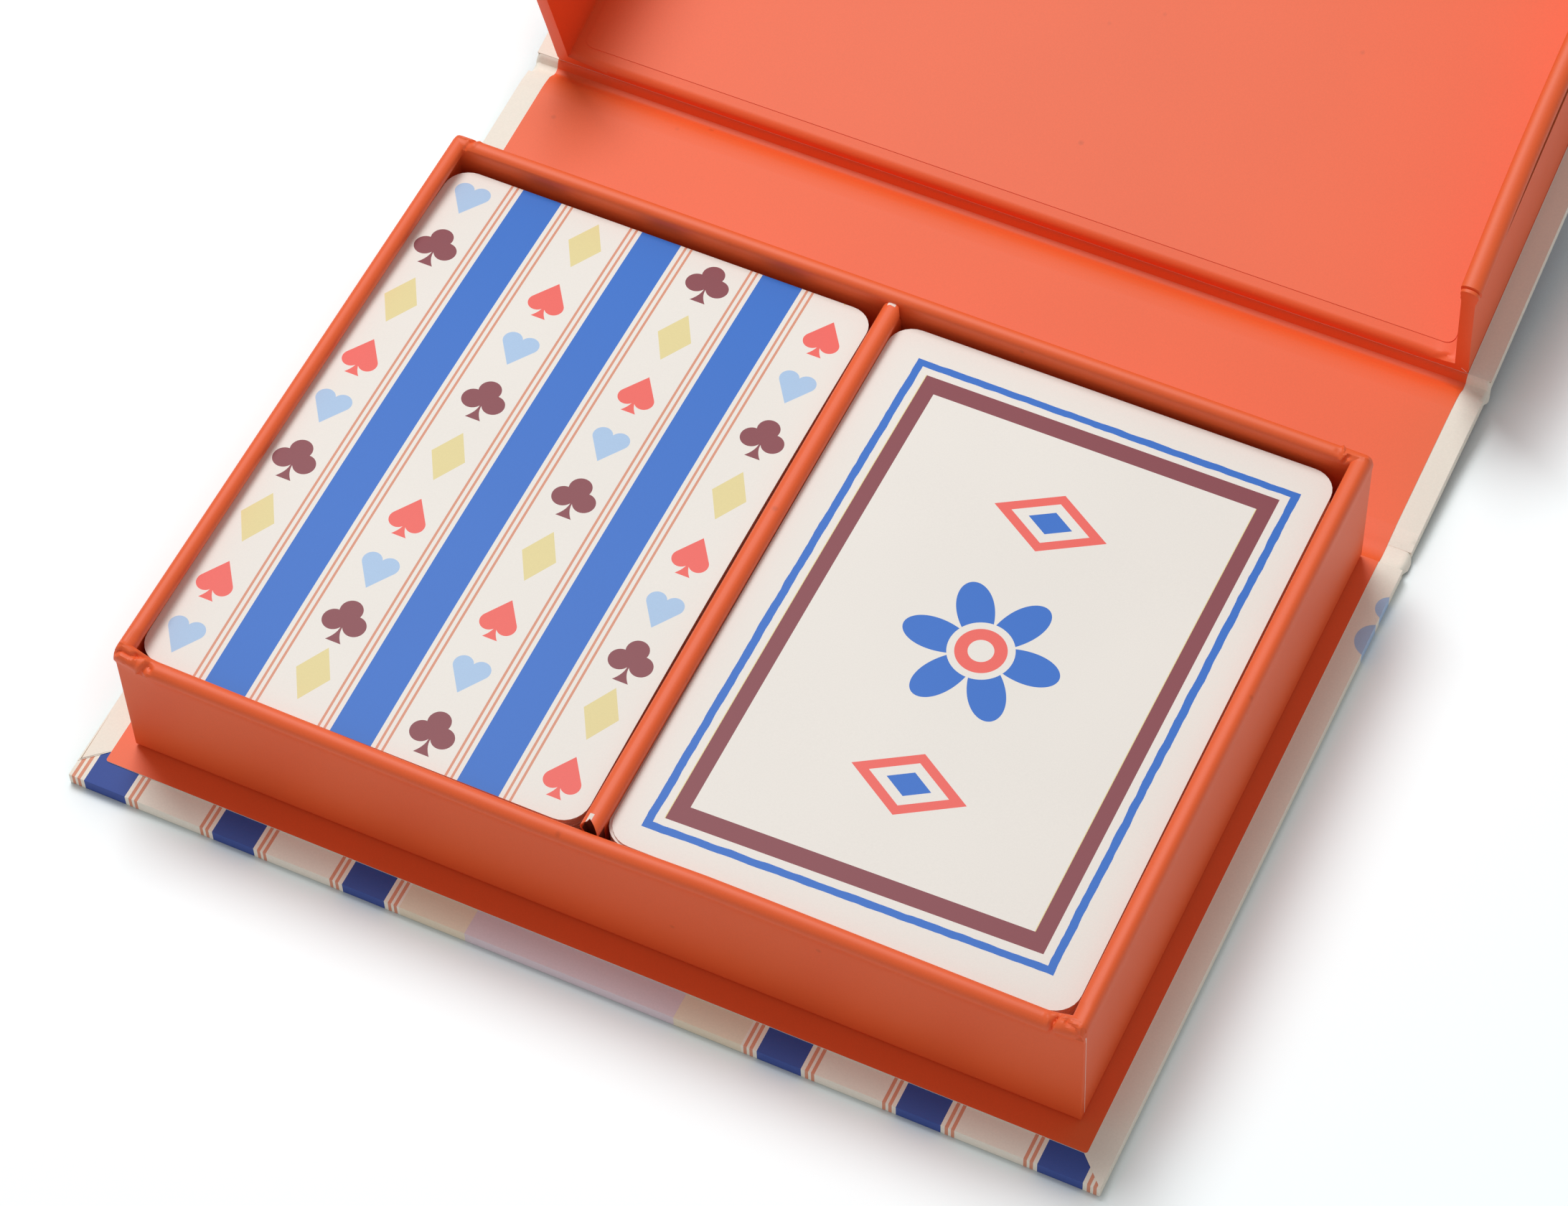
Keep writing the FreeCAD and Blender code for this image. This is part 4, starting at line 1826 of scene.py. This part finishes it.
@dataclass
class CardDeck:
    """A deck of cards in its well, with its top card as a piece of its own."""

    side: str
    face_name: str
    centre: tuple[float, float]
    top_centre: tuple[float, float]
    top_turn: float
    arch: float
    palette: Palette
    printed: bpy.types.Material
    bottom: float = 3.88
    pitch: float = 0.32
    count: int = 54
    width: float = 63.0
    top_width: float = 63.0
    length: float = 88.8
    corner: float = 3.5
    stray: float = 0.06

    def card(
        self, name: str, width: float, x: float, y: float, level: int, turn: float = 0.0
    ) -> Workpiece:
        """One card with rounded corners, arched a little along its length.

        Args:
            name: The piece's name.
            width: Its width.
            x: Its centre.
            y: Its centre.
            level: How many cards lie under it.
            turn: Turned about the vertical, in degrees.

        Returns:
            The card.
        """
        z = self.bottom + level * self.pitch
        half, end = width / 2, self.length / 2
        card = Workpiece.block(name, (-half, -end, 0.01), (half, end, self.pitch - 0.01))
        with card.edges(lambda m, d: abs(d.z) > 0.9):
            bpy.ops.mesh.bevel(offset=self.corner, segments=7, affect="EDGES")
        card.split("Y", [step * self.length / 12 for step in range(-5, 6)])
        rise = self.arch * level / (self.count - 1)
        card.reshape(lambda c: Vector((0.0, 0.0, rise * (1 - (c.y / end) ** 2))))
        card.item.data.transform(
            Matrix.Translation((x, y, z)) @ Matrix.Rotation(math.radians(turn), 4, "Z")
        )
        return card

    def build(self) -> None:
        """Builds the stack and the top card."""
        draw = random.Random(self.count + len(self.side))
        cards = []
        for level in range(self.count - 1):
            x = self.centre[0] + draw.uniform(-self.stray, self.stray)
            y = self.centre[1] + draw.uniform(-self.stray, self.stray)
            cards.append(self.card(f"{self.side}_card_{level}", self.width, x, y, level))
        stack = cards[0]
        stack.focus()
        for card in cards:
            card.item.select_set(True)
        bpy.ops.object.join()
        stack.item.name = stack.item.data.name = f"{self.side}_deck_stack"
        second = self.bottom + (self.count - 2) * self.pitch
        stack.dress(self.palette.card_edge, self.printed)
        stack.dress_faces(1, lambda c, n: n.z > 0.9 and c.z > second + 0.2)
        stack.hand_over(f"{self.side}_deck", Slot.CARD, f"{self.side}_deck_cards", smooth=30)
        top = self.card(self.face_name, self.top_width, *self.top_centre, self.count - 1, self.top_turn)
        top.dress(self.palette.card_edge, self.printed)
        top.dress_faces(1, lambda c, n: n.z > 0.9)
        top.hand_over(f"{self.side}_top_card", Slot.CARD, f"{self.side}_top_card", smooth=30)


# ---------------------------------------------------------------------------------------------
# Studio
# ---------------------------------------------------------------------------------------------


@dataclass(frozen=True)
class Studio:
    """Floor, soft light and camera."""

    azimuth: float = 27.463
    elevation: float = 54.982
    roll: float = -2.525
    distance: float = 0.641199
    target: Point = (-0.000347, 0.013345, 0.0)
    lens: float = 110.351
    key_azimuth: float = 45.0
    key_elevation: float = 62.0
    key_power: float = 7.75
    fill_power: float = 0.8
    surround: float = 0.33
    floor_size: float = 6.0
    floor_drop: float = 0.00002
    floor_lit: float = 0.93
    # The camera sees the floor brighter than lamps do, tinted a little cyan to cancel the orange light that the
    # box throws on it.
    floor_seen: Point = (1.165, 1.255, 1.27)
    # Painted shade on the floor's colour: its darkest share next to the box, and how far that darkening reaches,
    # in metres.
    painted_floor_shade: float = 0.28
    painted_shade_reach: float = 0.02

    def build(self) -> None:
        """Sets the stage."""
        self.add_floor()
        self.add_lights()
        self.add_camera()

    def add_floor(self) -> None:
        """A plain pale floor that the camera sees as white, with the object's shadow on it, and painted shade
        that darkens its colour near the box.
        """
        bpy.ops.object.select_all(action="DESELECT")
        bpy.ops.mesh.primitive_plane_add(size=self.floor_size, location=(0, 0, -self.floor_drop))
        floor = bpy.context.object
        floor.name = "studio_floor"
        material = bpy.data.materials.new("matt_white_backdrop_paper")
        material.use_nodes = True
        tree = material.node_tree
        tree.nodes.clear()
        path = tree.nodes.new("ShaderNodeLightPath")
        # Painted shade: ambient occlusion darkens the floor's colour, as the camera sees it, where the box
        # stands close.
        open_sky = add_node(tree, "AmbientOcclusion", {"Distance": self.painted_shade_reach}, out="AO", samples=8)
        mixed = (open_sky, 1 - self.painted_floor_shade, self.painted_floor_shade)
        shade = add_node(tree, "Math", mixed, operation="MULTIPLY_ADD")
        seen = add_node(tree, "VectorMath", (self.floor_seen, shade), operation="MULTIPLY")
        either = {0: path.outputs["Is Camera Ray"], 6: (*(self.floor_lit,) * 3, 1.0), 7: seen}
        colour = add_node(tree, "Mix", either, out=2, data_type="RGBA")
        shader = add_node(tree, "BsdfDiffuse", {"Color": colour})
        end = tree.nodes.new("ShaderNodeOutputMaterial")
        tree.links.new(shader, end.inputs["Surface"])
        floor.data.materials.append(material)

    def add_lights(self) -> None:
        """A soft lamp from behind on the left, a weak low one in front, and an even surround."""
        self.add_lamp("soft_key", (self.key_azimuth, self.key_elevation), 1.1, 0.5, self.key_power)
        self.add_lamp("front_fill", (-150.0, 22.0), 1.2, 0.8, self.fill_power)
        world = bpy.data.worlds.new("studio_surround")
        bpy.context.scene.world = world
        world.use_nodes = True
        tree = world.node_tree
        tree.nodes.clear()
        path = tree.nodes.new("ShaderNodeLightPath")
        either = {0: path.outputs["Is Camera Ray"], 2: self.surround, 3: 1.0}
        strength = add_node(tree, "Mix", either, data_type="FLOAT")
        sky = add_node(tree, "Background", {"Color": (1, 1, 1, 1), "Strength": strength})
        end = tree.nodes.new("ShaderNodeOutputWorld")
        tree.links.new(sky, end.inputs["Surface"])

    def add_lamp(
        self, name: str, towards: tuple[float, float], distance: float, size: float, power: float
    ) -> None:
        """One soft lamp that looks at the box.

        Args:
            name: Its name.
            towards: Where it stands: azimuth from the back to the left, and elevation, in degrees.
            distance: How far off, in metres.
            size: Side of its square, in metres.
            power: Its power in watts.
        """
        swing, rise = (math.radians(angle) for angle in towards)
        level = math.cos(rise)
        direction = Vector((-math.sin(swing) * level, math.cos(swing) * level, math.sin(rise)))
        bpy.ops.object.light_add(type="AREA", location=direction * distance)
        lamp = bpy.context.object
        lamp.name = name
        lamp.data.shape = "SQUARE"
        lamp.data.size = size
        lamp.data.energy = power
        lamp.rotation_euler = direction.to_track_quat("Z", "Y").to_euler()

    def add_camera(self) -> None:
        """The camera, turned a little about its own axis."""
        az, el = math.radians(self.azimuth), math.radians(self.elevation)
        back = Vector((math.sin(az) * math.cos(el), -math.cos(az) * math.cos(el), math.sin(el)))
        right = (-back).cross(Vector((0, 0, 1))).normalized()
        up = right.cross(-back)
        turn = math.radians(self.roll)
        across = math.cos(turn) * right + math.sin(turn) * up
        upright = -math.sin(turn) * right + math.cos(turn) * up
        bpy.ops.object.camera_add()
        camera = bpy.context.object
        camera.name = "studio_camera"
        axes = Matrix((across, upright, back)).transposed().to_4x4()
        camera.matrix_world = Matrix.Translation(Vector(self.target) + back * self.distance) @ axes
        camera.data.sensor_width = 36.0
        camera.data.lens = self.lens
        camera.data.clip_start = 0.01
        camera.data.clip_end = 20.0
        bpy.context.scene.camera = camera
        bpy.context.scene.view_settings.view_transform = "Standard"


# ---------------------------------------------------------------------------------------------
# The whole box
# ---------------------------------------------------------------------------------------------


def dress_hidden_nodes(palette: Palette) -> None:
    """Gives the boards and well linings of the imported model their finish.

    Args:
        palette: The materials.
    """
    for name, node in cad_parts.items():
        finish = palette.board
        if name.endswith(("_lining", "_wrap", "_liner")):
            finish = palette.orange
        elif "card" in name:
            finish = palette.card_edge
        elif name.endswith("_cover"):
            finish = palette.cover_plain
        node.data.materials.clear()
        node.data.materials.append(finish)


def main() -> None:
    """Builds the box piece by piece."""
    logging.basicConfig(level=logging.INFO, format="%(name)s: %(message)s")
    s = SIZES
    Studio().build()
    palette = Palette()
    dress_hidden_nodes(palette)
    lid_near = s.hinge_offset
    lid_far = s.hinge_offset + s.panel_back - s.panel_front
    CasePanel("base", BASE_FRAME, s.panel_front, s.panel_back, False, True, palette).build()
    CasePanel("spine", SPINE_FRAME, s.hinge_strip, s.spine_pitch - s.hinge_strip, True, True, palette).build()
    CasePanel("lid", LID_FRAME, lid_near, lid_far, True, False, palette).build()

    top, pitch = s.case_top, s.spine_pitch
    spine_start, lid_start = SPINE_FRAME.at(s.hinge_strip, 0.0), LID_FRAME.at(s.hinge_offset, 0.0)
    axis = SPINE_FRAME.axis_y
    PaperHinge(
        "front_hinge",
        ("base", "spine"),
        palette,
        [(s.panel_back, 0.0), (axis - 1, 0.0), (axis, 0.0), SPINE_FRAME.at(0.6, 0.0), spine_start],
        [(s.panel_back + y, top - deep) for y, deep in ((0.0, 0.0), (0.5, 0.35), (1.3, 0.55))]
        + [SPINE_FRAME.at(y, top - deep) for y, deep in ((0.2, 0.5), (1.2, 0.3), (2.4, 0.1), (4.0, 0.0))],
        (s.panel_back, 0.0),
        spine_start,
    ).build()
    spine_end = SPINE_FRAME.at(pitch - s.hinge_strip, 0.0)
    dip = [(-4.0, 0.0), (-3.0, 0.03), (-2.0, 0.14), (-1.0, 0.34)]
    dip += [(-0.2, 0.85), (0.3, 1.25), (0.8, 1.35), (1.4, 1.1)]
    PaperHinge(
        "back_hinge",
        ("spine", "lid"),
        palette,
        [spine_end, SPINE_FRAME.at(pitch, 0.0), LID_FRAME.at(0.8, 0.0), lid_start],
        [SPINE_FRAME.at(pitch + y, top - deep) for y, deep in dip]
        + [LID_FRAME.at(y, top - deep) for y, deep in ((1.9, 0.6), (2.3, 0.1), (2.7, 0.0))],
        spine_end,
        lid_start,
        pinch=0.3,
    ).build()

    WrappedTray(
        name="card_tray_wrap",
        body="base",
        node="tray_wrap",
        prefix="tray",
        place=BASE_FRAME,
        half_width=s.tray_half_width,
        near=s.tray_front,
        far=s.panel_back,
        height=s.tray_height,
        open_near=False,
        floor_top=s.tray_floor,
        palette=palette,
        folds=CARD_TRAY_FOLDS,
        sag=1.0,
    ).build()
    WrappedTray(
        name="lid_tray_paper",
        body="lid",
        node="lid_tray_wrap",
        prefix="lid_tray",
        place=LID_FRAME,
        half_width=s.lid_tray_half_width,
        near=lid_near,
        far=lid_near + s.lid_tray_length + LID_TRAY_PLAY,
        height=s.lid_tray_height,
        open_near=True,
        floor_top=s.lid_tray_floor,
        palette=palette,
        left_roll=Roll(0.45, 0.5),
        right_roll=Roll(0.42, 0.6),
    ).build()
    LidLining(LID_FRAME, palette).build()
    Divider(palette).build()
    back, face = palette.card_back, palette.card_face
    left_places, right_places = ((-34.1, 3.3), (-33.98, 3.25)), ((32.25, 3.34), (32.5, 3.5))
    CardDeck("left", "left_back_card", *left_places, 0.0, 1.0, palette, back, top_width=63.44).build()
    CardDeck("right", "right_face_card", *right_places, 0.2, 0.5, palette, face).build()


if __name__ == "__main__":
    main()
